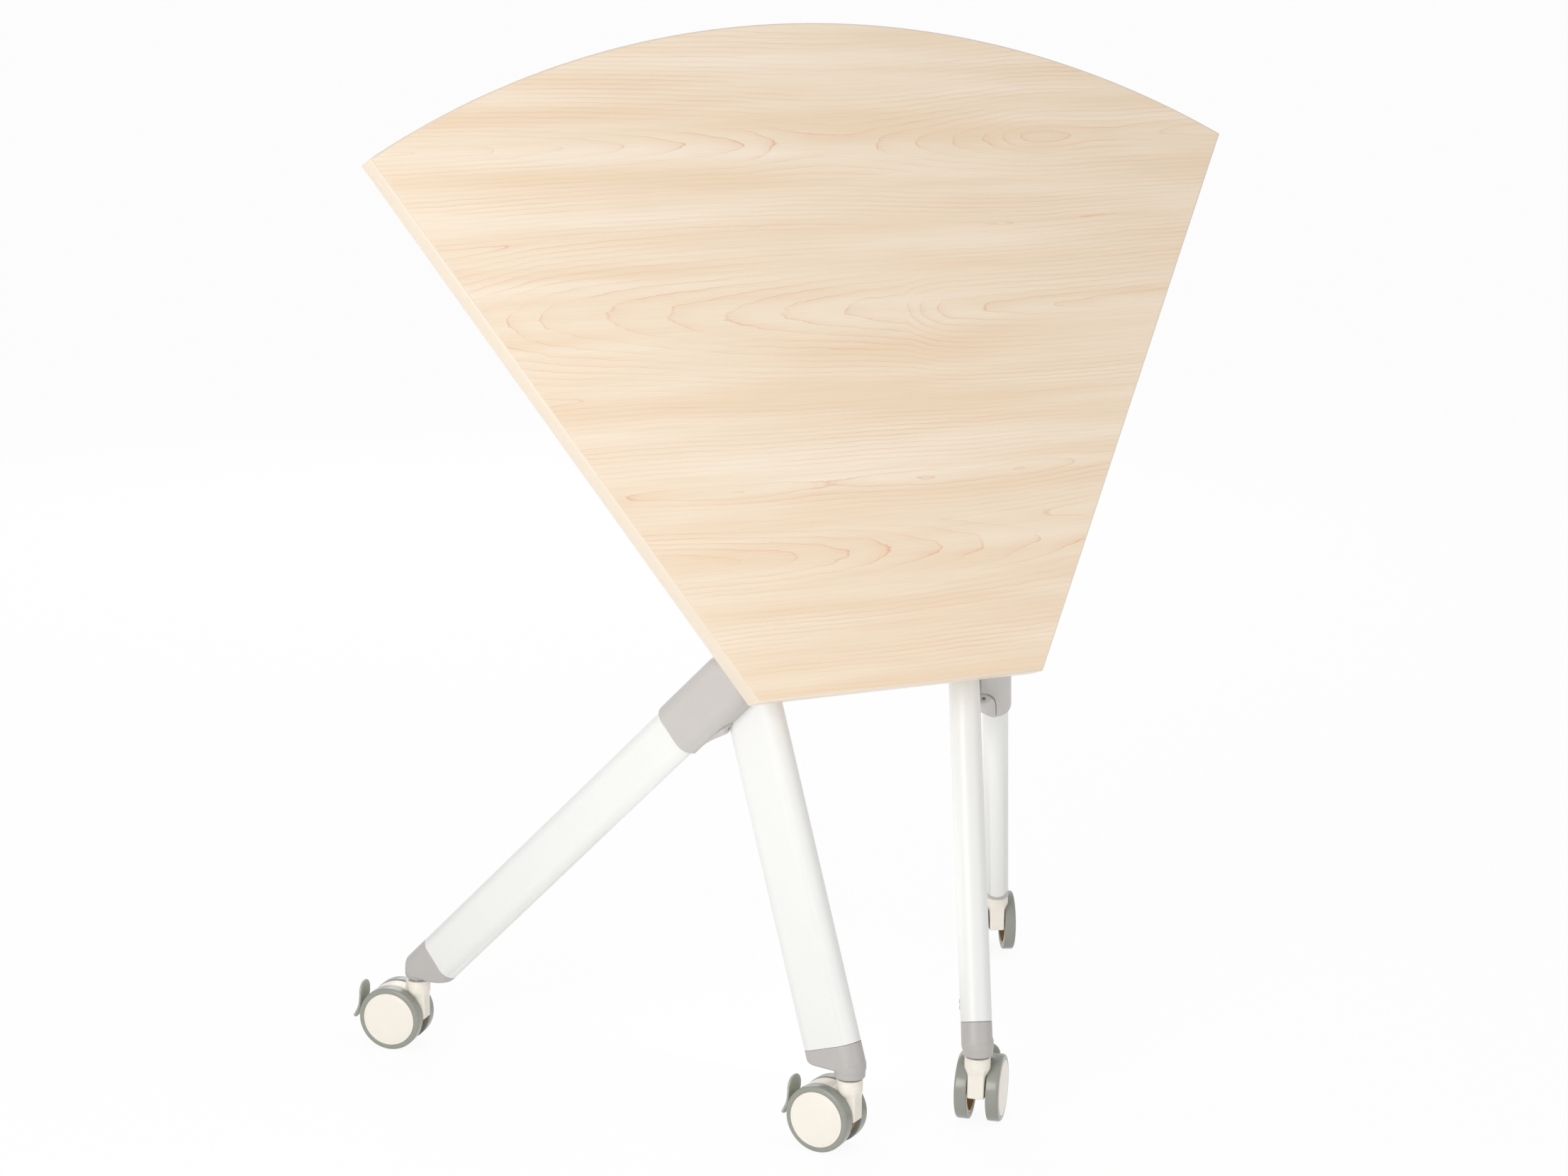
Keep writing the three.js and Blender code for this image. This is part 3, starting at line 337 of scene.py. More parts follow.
# Places: a rotation and an origin, in millimetres

def turn(axis, angle):
    """Rotation matrix about one axis by the right-hand rule."""
    return np.array(Matrix.Rotation(angle, 3, axis.upper()))


def placed(points, place):
    """Points of a group's own axes, in the CAD frame."""
    rotation, origin = place
    return points @ rotation.T + origin


def unplaced(points, place):
    """Points of the CAD frame, in a group's own axes."""
    rotation, origin = place
    return (points - origin) @ rotation


TOP = (turn("x", FLIP_ANGLE), PIVOT)


def side_places(out):
    """Axes of one side frame: main leg, rear leg, both feet, and the rear leg's length to the main axis."""
    yaw = turn("z", math.pi / 2 + out * FRAME_YAW)
    base = yaw @ turn("x", out * FRAME_LEAN)
    rise = base @ np.array([math.sin(MAIN_RAKE), 0, math.cos(MAIN_RAKE)])
    main_length = (PIVOT[2] - FRAME_BASE) / rise[2]
    origin = PIVOT - np.array([out * HEAD_SPACING / 2, 0, 0]) - rise * main_length
    drop = -KNUCKLE_OFFSET * math.tan(FRAME_LEAN)
    main = (base @ turn("y", MAIN_RAKE), origin)
    rear_origin = origin + base @ np.array([REAR_AXIS, out * KNUCKLE_OFFSET, drop])
    rear = (base @ turn("y", REAR_RISE - math.pi / 2), rear_origin)
    slope = math.cos(REAR_RISE) + math.tan(MAIN_RAKE) * math.sin(REAR_RISE)
    rear_length = (REAR_AXIS - drop * math.tan(MAIN_RAKE)) / slope
    front_stem = origin + base @ np.array([-FRONT_STEM_AHEAD, 0, 0])
    rear_stem = origin + base @ np.array([REAR_AXIS - REAR_STEM_AHEAD, out * KNUCKLE_OFFSET, drop])
    feet = [(yaw, np.array([stem[0], stem[1], BOSS_HEIGHT])) for stem in (front_stem, rear_stem)]
    return {
        "main": main, "rear": rear, "front_foot": feet[0], "rear_foot": feet[1],
        "main_length": main_length, "rear_length": rear_length,
    }


def caster_place(name):
    """Axes of one caster: X trails, Y is the axle, the floor is Z = 0."""
    stem = np.array(JOINTS["swivel_" + name]["pos_m"]) / MM
    axle = JOINTS["roll_a_" + name]["axis"]
    return turn("z", math.atan2(-axle[0], axle[1])), np.array([stem[0], stem[1], 0.0])


# Surfaces as whole arrays

def grid_shape(points, ring=False):
    """Quads over a grid of rows that close round. A ring joins the last row to the first, and otherwise
    each end row closes on its middle."""
    rows, cols = points.shape[:2]
    index = np.arange(rows * cols).reshape(rows, cols)
    low, high = (index, np.roll(index, -1, 0)) if ring else (index[:-1], index[1:])
    quads = np.stack([low, np.roll(low, -1, 1), np.roll(high, -1, 1), high], -1).reshape(-1, 4)
    verts = [points.reshape(-1, 3)]
    tris = [np.zeros((0, 3), int)]
    for row, order in () if ring else ((0, (1, 0, 2)), (-1, (0, 1, 2))):
        middle = np.full(cols, sum(map(len, verts)))
        verts.append(points[row].mean(0)[None])
        fan = np.stack([index[row], np.roll(index[row], -1), middle], -1)
        tris.append(fan[:, order])
    return outward(np.concatenate(verts), quads, np.concatenate(tris))


def outward(verts, quads, tris):
    """The same closed surface with its faces turned outwards, by the sign of its volume."""
    corners = np.concatenate([quads[:, [0, 1, 2]], quads[:, [0, 2, 3]], tris])
    a, b, c = (verts[corners[:, i]] for i in range(3))
    if np.einsum("ij,ij->i", a, np.cross(b, c)).sum() < 0:
        quads, tris = quads[:, ::-1], tris[:, ::-1]
    return verts, quads, tris


def together(*shapes):
    """Several closed surfaces as one."""
    offsets = np.cumsum([0] + [len(shape[0]) for shape in shapes[:-1]])
    return (
        np.concatenate([shape[0] for shape in shapes]),
        np.concatenate([shape[1] + offset for shape, offset in zip(shapes, offsets)]),
        np.concatenate([shape[2] + offset for shape, offset in zip(shapes, offsets)]),
    )


def rounded(points, radius, steps=6):
    """A polyline's corners eased by a parabola that starts and ends a radius away from each corner."""
    points = np.asarray(points, float)
    inner = points[1:-1]
    back, ahead = points[:-2] - inner, points[2:] - inner
    reach_back, reach_ahead = np.linalg.norm(back, axis=1), np.linalg.norm(ahead, axis=1)
    take = np.minimum(radius, 0.48 * np.minimum(reach_back, reach_ahead))
    start = inner + back * (take / reach_back)[:, None]
    end = inner + ahead * (take / reach_ahead)[:, None]
    t = np.linspace(0, 1, steps + 1)[None, :, None]
    arcs = start[:, None] * (1 - t) ** 2 + 2 * inner[:, None] * t * (1 - t) + end[:, None] * t ** 2
    return np.concatenate([points[:1], arcs.reshape(-1, points.shape[1]), points[-1:]])


def turned(profile, segments=72):
    """Surface of revolution about Y of a profile of radius and height."""
    profile = np.asarray(profile, float)
    angle = np.arange(segments) * 2 * math.pi / segments
    radius, height = profile[:, :1], profile[:, 1:]
    flat = np.ones_like(angle)
    return np.stack([radius * np.cos(angle), height * flat, radius * np.sin(angle)], -1)


def oval(width, depth):
    """Flat oval about the origin: two half circles by angle of travel, joined by straight sides."""
    half = np.linspace(-math.pi / 2, math.pi / 2, OVAL_STEPS)
    straight, radius = (width - depth) / 2, depth / 2
    right = np.stack([straight + radius * np.cos(half), radius * np.sin(half)], -1)
    return np.concatenate([right, -right])


def oval_tube(section, low, high):
    """Tube on a flat oval: the outer oval up, the rim, and the inner oval down again, with the lower
    outer edge tucked in."""
    outer = oval(*section)
    inner = oval(section[0] - 2 * TUBE_WALL, section[1] - 2 * TUBE_WALL)
    rims = [(outer, low + TUBE_EASE), (outer, high), (inner, high), (inner, low), (outer * TUBE_TUCK, low)]
    rows = [np.column_stack([flat, np.full(len(flat), z)]) for flat, z in rims]
    return np.stack(rows)


def smooth_max(a, b, k):
    """Larger of two fields, with the corner between them eased over a band of k."""
    ease = np.maximum(k - np.abs(a - b), 0) / k
    return np.maximum(a, b) + ease ** 2 * k / 4


def smooth_min(a, b, k):
    """Smaller of two fields, eased in the same way."""
    return -smooth_max(-a, -b, k)


def cast_surface(field, centre, stretch, rows, cols):
    """Closed surface seen from an inner point: along every direction of a stretched sphere, the
    distance where the field turns positive, found by halving."""
    polar = (np.arange(rows) + 0.5) * math.pi / rows
    around = np.arange(cols) * 2 * math.pi / cols
    p, t = np.meshgrid(polar, around, indexing="ij")
    ray = np.stack([np.sin(p) * np.cos(t), np.sin(p) * np.sin(t), np.cos(p)], -1)
    ray = ray * np.asarray(stretch, float)
    near, far = np.zeros_like(p), np.full_like(p, 3.0)
    for _ in range(28):
        middle = (near + far) / 2
        inside = field(centre + ray * middle[..., None]) < 0
        near, far = np.where(inside, middle, near), np.where(inside, far, middle)
    return centre + ray * near[..., None]


def oval_field(x, y, width, depth):
    """Distance to a flat oval in the XY plane."""
    return np.hypot(np.maximum(np.abs(x) - (width - depth) / 2, 0), y) - depth / 2


# Objects

def mesh_object(name, shape, sharp_degrees=50):
    """Mesh of one shape, in metres, smooth except over sharp corners."""
    verts, quads, tris = shape
    mesh = bpy.data.meshes.new(name)
    mesh.vertices.add(len(verts))
    mesh.vertices.foreach_set("co", (verts * MM).astype(np.float32).ravel())
    loops = np.concatenate([quads.ravel(), tris.ravel()]).astype(np.int32)
    mesh.loops.add(len(loops))
    mesh.loops.foreach_set("vertex_index", loops)
    starts = np.concatenate([np.arange(len(quads)) * 4, len(quads) * 4 + np.arange(len(tris)) * 3])
    mesh.polygons.add(len(starts))
    mesh.polygons.foreach_set("loop_start", starts.astype(np.int32))
    mesh.update(calc_edges=True)
    mesh.validate()
    mesh.shade_smooth()
    mesh.set_sharp_from_angle(angle=math.radians(sharp_degrees))
    obj = bpy.data.objects.new(name, mesh)
    bpy.context.scene.collection.objects.link(obj)
    return obj


def add_piece(name, shape, material, body, sharp_degrees=50):
    """A finished piece that rides on a body."""
    obj = mesh_object(name, shape, sharp_degrees)
    obj.data.materials.append(material)
    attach(obj, body)
    return obj


def stand_for(node, shape, material, sharp_degrees=50):
    """A finished piece in the place of a CAD node, on the node's body."""
    obj = add_piece(node + "_dressed", shape, material, NODES[node]["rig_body"], sharp_degrees)
    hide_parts(node)
    return obj


def eased_copy(node, material):
    """A CAD node's own shape with its edges broken by a bevel."""
    mesh = NODES[node].data.copy()
    work = bmesh.new()
    work.from_mesh(mesh)
    bmesh.ops.remove_doubles(work, verts=work.verts, dist=1e-6)
    bmesh.ops.dissolve_limit(work, angle_limit=math.radians(1), verts=work.verts, edges=work.edges)
    work.to_mesh(mesh)
    work.free()
    mesh.materials.clear()
    mesh.materials.append(material)
    mesh.shade_smooth()
    corner = math.radians(30)
    mesh.set_sharp_from_angle(angle=corner)
    obj = bpy.data.objects.new(node + "_dressed", mesh)
    bpy.context.scene.collection.objects.link(obj)
    bevel = obj.modifiers.new("broken_edges", "BEVEL")
    bevel.width = settings().sizes.bracket_edge
    bevel.segments = 2
    bevel.limit_method = "ANGLE"
    bevel.angle_limit = corner
    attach(obj, NODES[node]["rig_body"])
    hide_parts(node)


# Materials

def add_node(tree, kind, inputs=None, stops=None, **values):
    """Adds one node, sets its values and colour stops, and sets or links its inputs."""
    node = tree.nodes.new(kind)
    for name, value in values.items():
        setattr(node, name, value)
    for name, value in (inputs or {}).items():
        if isinstance(value, bpy.types.NodeSocket):
            tree.links.new(value, node.inputs[name])
        else:
            node.inputs[name].default_value = value
    if stops:
        ramp = node.color_ramp.elements
        while len(ramp) < len(stops):
            ramp.new(0.5)
        for element, (position, shade) in zip(ramp, stops):
            element.position = position
            element.color = shade if hasattr(shade, "__len__") else (shade, shade, shade, 1)
    return node


def new_material(name, **shader):
    """An empty material with a Principled shader whose plain values are set on its own sockets."""
    material = bpy.data.materials.new(name)
    material.use_nodes = True
    tree = material.node_tree
    tree.nodes.clear()
    principled = add_node(tree, "ShaderNodeBsdfPrincipled", shader)
    output = add_node(tree, "ShaderNodeOutputMaterial")
    tree.links.new(principled.outputs["BSDF"], output.inputs["Surface"])
    return material, tree, principled


def tinted(base, factor):
    """A colour, darker or lighter by a factor."""
    return (*(min(1.0, c * factor) for c in base[:3]), 1.0)


def moulded_finish(name, base, roughness, ripple, height, mottle, shader, inside=None):
    """Paint, plating, nylon or rubber: faint mottling of the colour and gloss, and a fine ripple in
    relief. Ripple is the ripple's width in metres, height its depth in millimetres, mottle the share by
    which the colour varies, and inside a colour of painted shade laid where the mesh's own inside
    attribute is 1."""
    material, tree, principled = new_material(name, **shader)
    place = add_node(tree, "ShaderNodeTexCoord").outputs["Object"]
    broad = add_node(
        tree, "ShaderNodeTexNoise",
        {"Vector": place, "Scale": 1 / (MOTTLE_WIDTH * MM), "Detail": 3.0, "Roughness": 0.55},
    ).outputs["Fac"]
    fine = add_node(
        tree, "ShaderNodeTexNoise", {"Vector": place, "Scale": 1 / ripple, "Detail": 2.0, "Roughness": 0.5}
    ).outputs["Fac"]
    shade = add_node(
        tree, "ShaderNodeValToRGB", {"Fac": broad},
        stops=[(NOISE_LOW, tinted(base, 1 - mottle)), (NOISE_HIGH, tinted(base, 1 + mottle))],
    ).outputs["Color"]
    gloss = add_node(tree, "ShaderNodeMapRange", {
        "Value": broad, "From Min": NOISE_LOW, "From Max": NOISE_HIGH,
        "To Min": roughness * 0.9, "To Max": roughness * 1.1,
    }).outputs["Result"]
    relief = add_node(
        tree, "ShaderNodeBump", {"Height": fine, "Strength": 1.0, "Distance": height * MM}
    ).outputs["Normal"]
    # Painted shade: the inside colour takes over where the inside attribute is 1
    if inside:
        mask = add_node(tree, "ShaderNodeAttribute", attribute_name="inside").outputs["Fac"]
        shade = add_node(
            tree, "ShaderNodeMix", {MIX_FACTOR: mask, MIX_A: shade, MIX_B: tuple(inside)}, data_type="RGBA"
        ).outputs[MIX_RESULT]
    tree.links.new(shade, principled.inputs["Base Color"])
    tree.links.new(gloss, principled.inputs["Roughness"])
    tree.links.new(relief, principled.inputs["Normal"])
    return material


def maple_laminate():
    """Decor paper printed with maple and pressed under clear melamine: pale satin wood whose grain shows
    in colour and hardly in relief. The decor is a log cut flat: a band's ring count is the distance from
    the log's heart, whose depth under the face rises and falls along the board, so the rings run straight
    beside the heart and close into arches over it."""
    colours, sizes = settings().colours, settings().sizes
    material, tree, principled = new_material("maple_melamine", IOR=1.5, Roughness=0.42)
    place = add_node(tree, "ShaderNodeTexCoord").outputs["Object"]
    # Board axes in metres: X along the grain, Y from the short edge to the curved edge
    flat = add_node(
        tree, "ShaderNodeMapping", {"Vector": place, "Location": tuple(float(-c * MM) for c in PIVOT)},
    ).outputs["Vector"]
    board = add_node(
        tree, "ShaderNodeVectorRotate",
        {"Vector": flat, "Axis": (1, 0, 0), "Angle": -FLIP_ANGLE}, rotation_type="AXIS_ANGLE",
    ).outputs["Vector"]
    axes = add_node(tree, "ShaderNodeSeparateXYZ", {"Vector": board}).outputs

    def streaks(long_mm, wide_mm, shift, detail):
        """Soft streaks of a length and a width in millimetres."""
        scale = (1 / (long_mm * MM), 1 / (wide_mm * MM), 0.0)
        scaled = add_node(
            tree, "ShaderNodeMapping", {"Vector": board, "Scale": scale, "Location": (shift, shift, 0.0)}
        ).outputs["Vector"]
        return add_node(
            tree, "ShaderNodeTexNoise", {"Vector": scaled, "Scale": 1.0, "Detail": detail, "Roughness": 0.5}
        ).outputs["Fac"]

    sway = streaks(380, 200, 3.1, 1.0)
    across = add_node(
        tree, "ShaderNodeMath", {0: sway, 1: MAPLE_SWAY * MM, 2: axes["Y"]}, operation="MULTIPLY_ADD"
    ).outputs[0]
    along = add_node(
        tree, "ShaderNodeMapRange", {"Value": axes["X"], "From Min": -0.45, "From Max": 0.45}
    ).outputs["Result"]
    radius = None
    squeeze = 1 / (MAPLE_DEPTH * MM)
    for middle, depths in MAPLE_HEARTS:
        depth = add_node(tree, "ShaderNodeValToRGB", {"Fac": along}, stops=depths)
        depth.color_ramp.interpolation = "B_SPLINE"
        beside = add_node(
            tree, "ShaderNodeMath", {0: across, 1: squeeze, 2: -(middle + MAPLE_SWAY / 2) * MM * squeeze},
            operation="MULTIPLY_ADD",
        ).outputs[0]
        offset = add_node(
            tree, "ShaderNodeCombineXYZ", {"X": depth.outputs["Color"], "Y": beside}
        ).outputs[0]
        heart = add_node(tree, "ShaderNodeVectorMath", {0: offset}, operation="LENGTH").outputs["Value"]
        radius = heart if radius is None else add_node(
            tree, "ShaderNodeMath", {0: radius, 1: heart, 2: 0.15}, operation="SMOOTH_MIN"
        ).outputs[0]
    rings = MAPLE_DEPTH * MM / sizes.grain_ring
    wobble = add_node(
        tree, "ShaderNodeMath", {0: streaks(34, 10, 7.7, 3.0), 1: 0.6}, operation="MULTIPLY"
    ).outputs[0]
    count = add_node(
        tree, "ShaderNodeMath", {0: radius, 1: rings, 2: wobble}, operation="MULTIPLY_ADD"
    ).outputs[0]
    share = add_node(tree, "ShaderNodeMath", {0: count}, operation="FRACT").outputs[0]
    # Late wood: each ring darkens softly outwards and stops at a fine line
    line = add_node(
        tree, "ShaderNodeValToRGB", {"Fac": share},
        stops=[(0.0, 0.8), (0.03, 0.0), (0.5, 0.0), (0.9, 0.2), (0.95, 0.35), (0.985, 1.0)],
    ).outputs["Color"]
    strength = add_node(tree, "ShaderNodeMapRange", {
        "Value": streaks(280, 24, 1.3, 3.0), "From Min": 0.38, "From Max": 0.68,
        "To Min": 0.08, "To Max": 0.85,
    }).outputs["Result"]
    inked = add_node(tree, "ShaderNodeMath", {0: line, 1: strength}, operation="MULTIPLY").outputs[0]
    broad = add_node(
        tree, "ShaderNodeValToRGB", {"Fac": streaks(560, 30, 5.5, 3.0)},
        stops=[(0.34, tuple(colours.maple_light)), (0.66, tuple(colours.maple_dark))],
    ).outputs["Color"]
    ringed = add_node(
        tree, "ShaderNodeMix", {MIX_FACTOR: inked, MIX_A: broad, MIX_B: tuple(colours.maple_ring)},
        data_type="RGBA",
    ).outputs[MIX_RESULT]
    fibres = streaks(70, sizes.fibre / MM, 2.2, 2.0)
    shade = add_node(tree, "ShaderNodeMapRange", {
        "Value": fibres, "From Min": NOISE_LOW, "From Max": NOISE_HIGH, "To Min": 0.965, "To Max": 1.025,
    }).outputs["Result"]
    grain = add_node(
        tree, "ShaderNodeVectorMath", {0: ringed, 1: shade}, operation="MULTIPLY"
    ).outputs["Vector"]
    relief = add_node(
        tree, "ShaderNodeBump", {"Height": fibres, "Strength": 0.5, "Distance": 0.02 * MM}
    ).outputs["Normal"]
    tree.links.new(grain, principled.inputs["Base Color"])
    tree.links.new(relief, principled.inputs["Normal"])
    return material


def finish(name):
    """The material of a finish, made when it is first asked for."""
    if name not in MADE_FINISHES:
        colours, sizes = settings().colours, settings().sizes
        if name == "maple":
            MADE_FINISHES[name] = maple_laminate()
        else:
            material, tint, roughness, ripple, height, mottle, shader, *inside = FINISHES[name]
            width = getattr(sizes, ripple) if isinstance(ripple, str) else ripple * MM
            # The inside colour, where a finish has one, is painted shade
            painted_inside_shade = getattr(colours, inside[0]) if inside else None
            MADE_FINISHES[name] = moulded_finish(
                material, getattr(colours, tint), roughness, width, height, mottle, shader, painted_inside_shade
            )
    return MADE_FINISHES[name]


# Board

def sector_outline(inset):
    """Outline of the sector moved in by each inset: two corners of the short edge, then the arc."""
    inset = np.atleast_1d(np.asarray(inset, float))
    apex = SHORT_EDGE - INNER_RADIUS * math.cos(HALF_ANGLE)
    shift = inset / math.sin(HALF_ANGLE)
    near = SHORT_EDGE + inset
    half = (near - apex - shift) * math.tan(HALF_ANGLE)
    radius = OUTER_RADIUS - inset
    reach = np.sqrt(radius ** 2 - inset ** 2) - shift * math.cos(HALF_ANGLE)
    first = np.arctan2(shift + reach * math.cos(HALF_ANGLE), reach * math.sin(HALF_ANGLE))
    angle = first[:, None] + (math.pi - 2 * first)[:, None] * np.linspace(0, 1, ARC_STEPS + 1)
    arc = np.stack([radius[:, None] * np.cos(angle), apex + radius[:, None] * np.sin(angle)], -1)
    short = np.stack([np.stack([-half, near], -1), np.stack([half, near], -1)], 1)
    return np.concatenate([short, arc], 1)


def board_shape():
    """Prism on the sector inside the band, closed by a fan on each face."""
    flat = sector_outline(BAND)[0]
    rows = [np.column_stack([flat, np.full(len(flat), z)]) for z in (UNDERSIDE, LAMINATE)]
    return grid_shape(placed(np.stack(rows), TOP))


def band_shape(edge):
    """A strip's section carried round the sector: inset from the outline by height, with a quarter
    circle on each outer edge."""
    t = np.linspace(0, math.pi / 2, 8)
    corner = edge * np.stack([1 - np.sin(t), 1 - np.cos(t)], -1)
    lower = corner + (0, UNDERSIDE)
    upper = corner[::-1] * (1, -1) + (0, LAMINATE)
    section = np.concatenate([[(BAND, UNDERSIDE)], lower, upper, [(BAND, LAMINATE)]])
    outline = sector_outline(section[:, 0])
    height = np.broadcast_to(section[:, 1][:, None, None], (*outline.shape[:2], 1))
    return grid_shape(placed(np.concatenate([outline, height], -1), TOP), ring=True)


# Legs and castings

def foot_field(leg, foot, tube, start, boss, underside, ahead, ease):
    """Cap: the tube's oval, an upright half round at the boss's end and a flat underside, with eased
    corners, joined to an upright boss."""
    at_tube, at_boss, between = 0.3, 0.8, 2.2

    def field(points):
        x, y, z = (points[..., i] for i in range(3))
        on_leg = unplaced(placed(points, foot), leg)
        wide = oval_field(on_leg[..., 0], on_leg[..., 1], *tube)
        side = tube[1] / 2 + FOOT_SKIN
        squeezed = y * boss / side
        end = np.where(ahead * x > 0, np.hypot(x, squeezed), np.abs(squeezed)) - boss
        cap = smooth_max(smooth_max(wide, end, ease), underside - z, 2 * ease)
        cap = smooth_max(cap, on_leg[..., 2] - start, at_tube)
        post = smooth_max(np.hypot(x, y) - boss, BOSS_LIFT - z, at_boss)
        post = np.maximum(post, z - underside - boss / 2)
        return smooth_min(cap, post, between)
    return field


def knuckle_field(length, out, ease):
    """Oval block with a half disc for a head and a plane mouth with an eased rim. Towards the main leg
    its long corners close from the oval's full round to a tight edge above the cover, whose window is
    taken out of the underside."""
    mouth = length - KNUCKLE_LENGTH
    half = KNUCKLE[1] / 2

    def field(points):
        x, y, z = (points[..., i] for i in range(3))
        reach = np.where(z > length, np.hypot(x, z - length), np.abs(x))
        share = np.clip((z - mouth - CORNER_START) / CORNER_RUN, 0, 1)
        tight = half - (half - ease) * share ** 2 * (3 - 2 * share)
        corner = np.where(out * y < 0, tight, half)
        across = reach - KNUCKLE[0] / 2 + corner
        deep = np.abs(y) - half + corner
        block = np.hypot(np.maximum(across, 0), np.maximum(deep, 0)) - corner
        block = block + np.minimum(np.maximum(across, deep), 0)
        block = smooth_max(block, mouth - z, 2 * ease)
        return smooth_max(block, -window_field(x, y, z, mouth, out, 0.0), 0.7)
    return field


def window_field(x, y, z, mouth, out, gap):
    """Window of the cover, below the axis: its top arches as a parabola from the knuckle's middle up to
    the main leg's side."""
    half = KNUCKLE[1] / 2
    inner = -out * y - gap
    share = np.sqrt(np.clip(inner / half, 0.003, 1))
    top = mouth + COVER_LENGTH - gap - COVER_ARCH * (1 - share) ** 2
    slope = COVER_ARCH * (1 - share) / (half * share)
    arch = (z - top) / np.hypot(1, slope)
    return np.maximum(np.maximum(arch, -inner), x + COVER_REACH + gap)


def cover_field(length, out):
    """The window's own shape on the knuckle's oval, with a round swell beside the main leg that grows
    towards a sloped end with a screw hole."""
    mouth = length - KNUCKLE_LENGTH
    radius, shift, drop = COVER_SWELL
    hole_radius, hole_depth, hole_down = COVER_HOLE
    lean, rise_share = math.sin(COVER_END_SLOPE), math.cos(COVER_END_SLOPE)

    def field(points):
        x, y, z = (points[..., i] for i in range(3))
        inner, rise = -out * y, z - mouth
        block = oval_field(x, y, *KNUCKLE)
        axis = (COVER_LENGTH - rise) * math.tan(COVER_TILT) - drop
        swell = np.hypot((x - axis) * math.cos(COVER_TILT), inner - shift) - radius
        body = smooth_min(block, swell, 5.0)
        body = smooth_max(body, inner - KNUCKLE[1] / 2, 0.8)
        body = smooth_max(body, -rise, 1.2)
        below, over = x + KNUCKLE[0] / 2, rise - COVER_LENGTH
        proud = lean * over - rise_share * below
        body = smooth_max(body, proud, 2.0)
        body = smooth_max(body, window_field(x, y, z, mouth, out, COVER_GAP), 0.7)
        down = -lean * below - rise_share * over - hole_down
        hole = np.maximum(np.hypot(down, inner - shift) - hole_radius, -proud - hole_depth)
        return np.maximum(body, -hole)
    return field


# Casters

def tyre_profile():
    """Closed ring: inner bore, flat inner wall, tread, and a flat side behind a narrow shoulder."""
    bore = HUB_RADIUS + 0.02
    ring = [
        (bore, TYRE_MIDDLE), (bore, WHEEL_INNER), (WHEEL_RADIUS, WHEEL_INNER),
        (WHEEL_RADIUS, TYRE_OUTER - 1.5), (WHEEL_RADIUS - 1.3, TYRE_OUTER - 0.1), (bore, TYRE_OUTER + 0.2),
        (bore, TYRE_MIDDLE),
    ]
    return rounded(ring, 1.1)[:-1]


def hub_profile():
    """Cup from its bore: boss, web and rim inside, then a dome that falls with the radius squared, with a
    fine ring groove near its edge."""
    web, wall, rim = HUB_OUTER - HUB_WEB, HUB_RADIUS - HUB_WALL, WHEEL_INNER + 0.3
    cup = [
        (0.01, web - 1.0), (HUB_BORE, web - 1.0), (HUB_BORE, WHEEL_INNER), (HUB_BOSS, WHEEL_INNER),
        (HUB_BOSS, web), (wall, web), (wall, rim), (HUB_RADIUS, rim), (HUB_RADIUS, HUB_OUTER - 0.8),
        (HUB_RADIUS - 0.5, HUB_OUTER - 0.6), (HUB_RADIUS - 1.2, HUB_OUTER - HUB_DOME),
    ]
    radius = np.linspace(HUB_RADIUS - 1.3, 0.01, 60)
    share = radius / HUB_RADIUS
    dome = HUB_OUTER - HUB_DOME * share ** 2
    dome = dome - 0.25 * np.exp(-((radius - HUB_RADIUS + 2.6) / 0.35) ** 2)
    return np.concatenate([rounded(cup, 0.5), np.stack([radius, dome], -1)])


def housing_field(ease):
    """Bottle neck round the stem, which widens upwards by a smooth step to a fine ring groove, joined to a
    hood plate over the axle and cut clear of both wheels."""
    lower_x, lower_z = np.array(HOOD_LOWER).T

    def field(points):
        x, y, z = (points[..., i] for i in range(3))
        share = np.clip((z - NECK_START) / NECK_RUN, 0, 1)
        bottle = HOUSING_HALF + NECK_SWELL * share ** 2 * (3 - 2 * share)
        bottle = bottle - 0.4 * np.exp(-((z - HOUSING_TOP + 3.0) / 0.45) ** 2)
        neck = smooth_max(np.hypot(x, y) - bottle, z - HOUSING_TOP, 1.2)
        neck = np.maximum(neck, NECK_FOOT - z)
        from_axle = np.hypot(x - TRAIL, z - WHEEL_RADIUS)
        block = np.maximum(np.maximum(HOOD_FRONT - x, x - 12.0), np.maximum(31.0 - z, z - 60.0))
        plate = smooth_min(from_axle - HOOD_RADIUS, block, 3.0)
        plate = smooth_max(plate, np.abs(y) - HOUSING_HALF, 2 * ease)
        plate = smooth_max(plate, np.interp(x, lower_x, lower_z) - z, 1.0)
        plate = smooth_max(plate, HOOD_FRONT - x, 3.0)
        whole = smooth_min(neck, plate, 2.5)
        clear = np.minimum(WHEEL_ROOM - from_axle, np.abs(y) - HOUSING_HALF - 0.25)
        return smooth_max(whole, clear, 0.5)
    return field


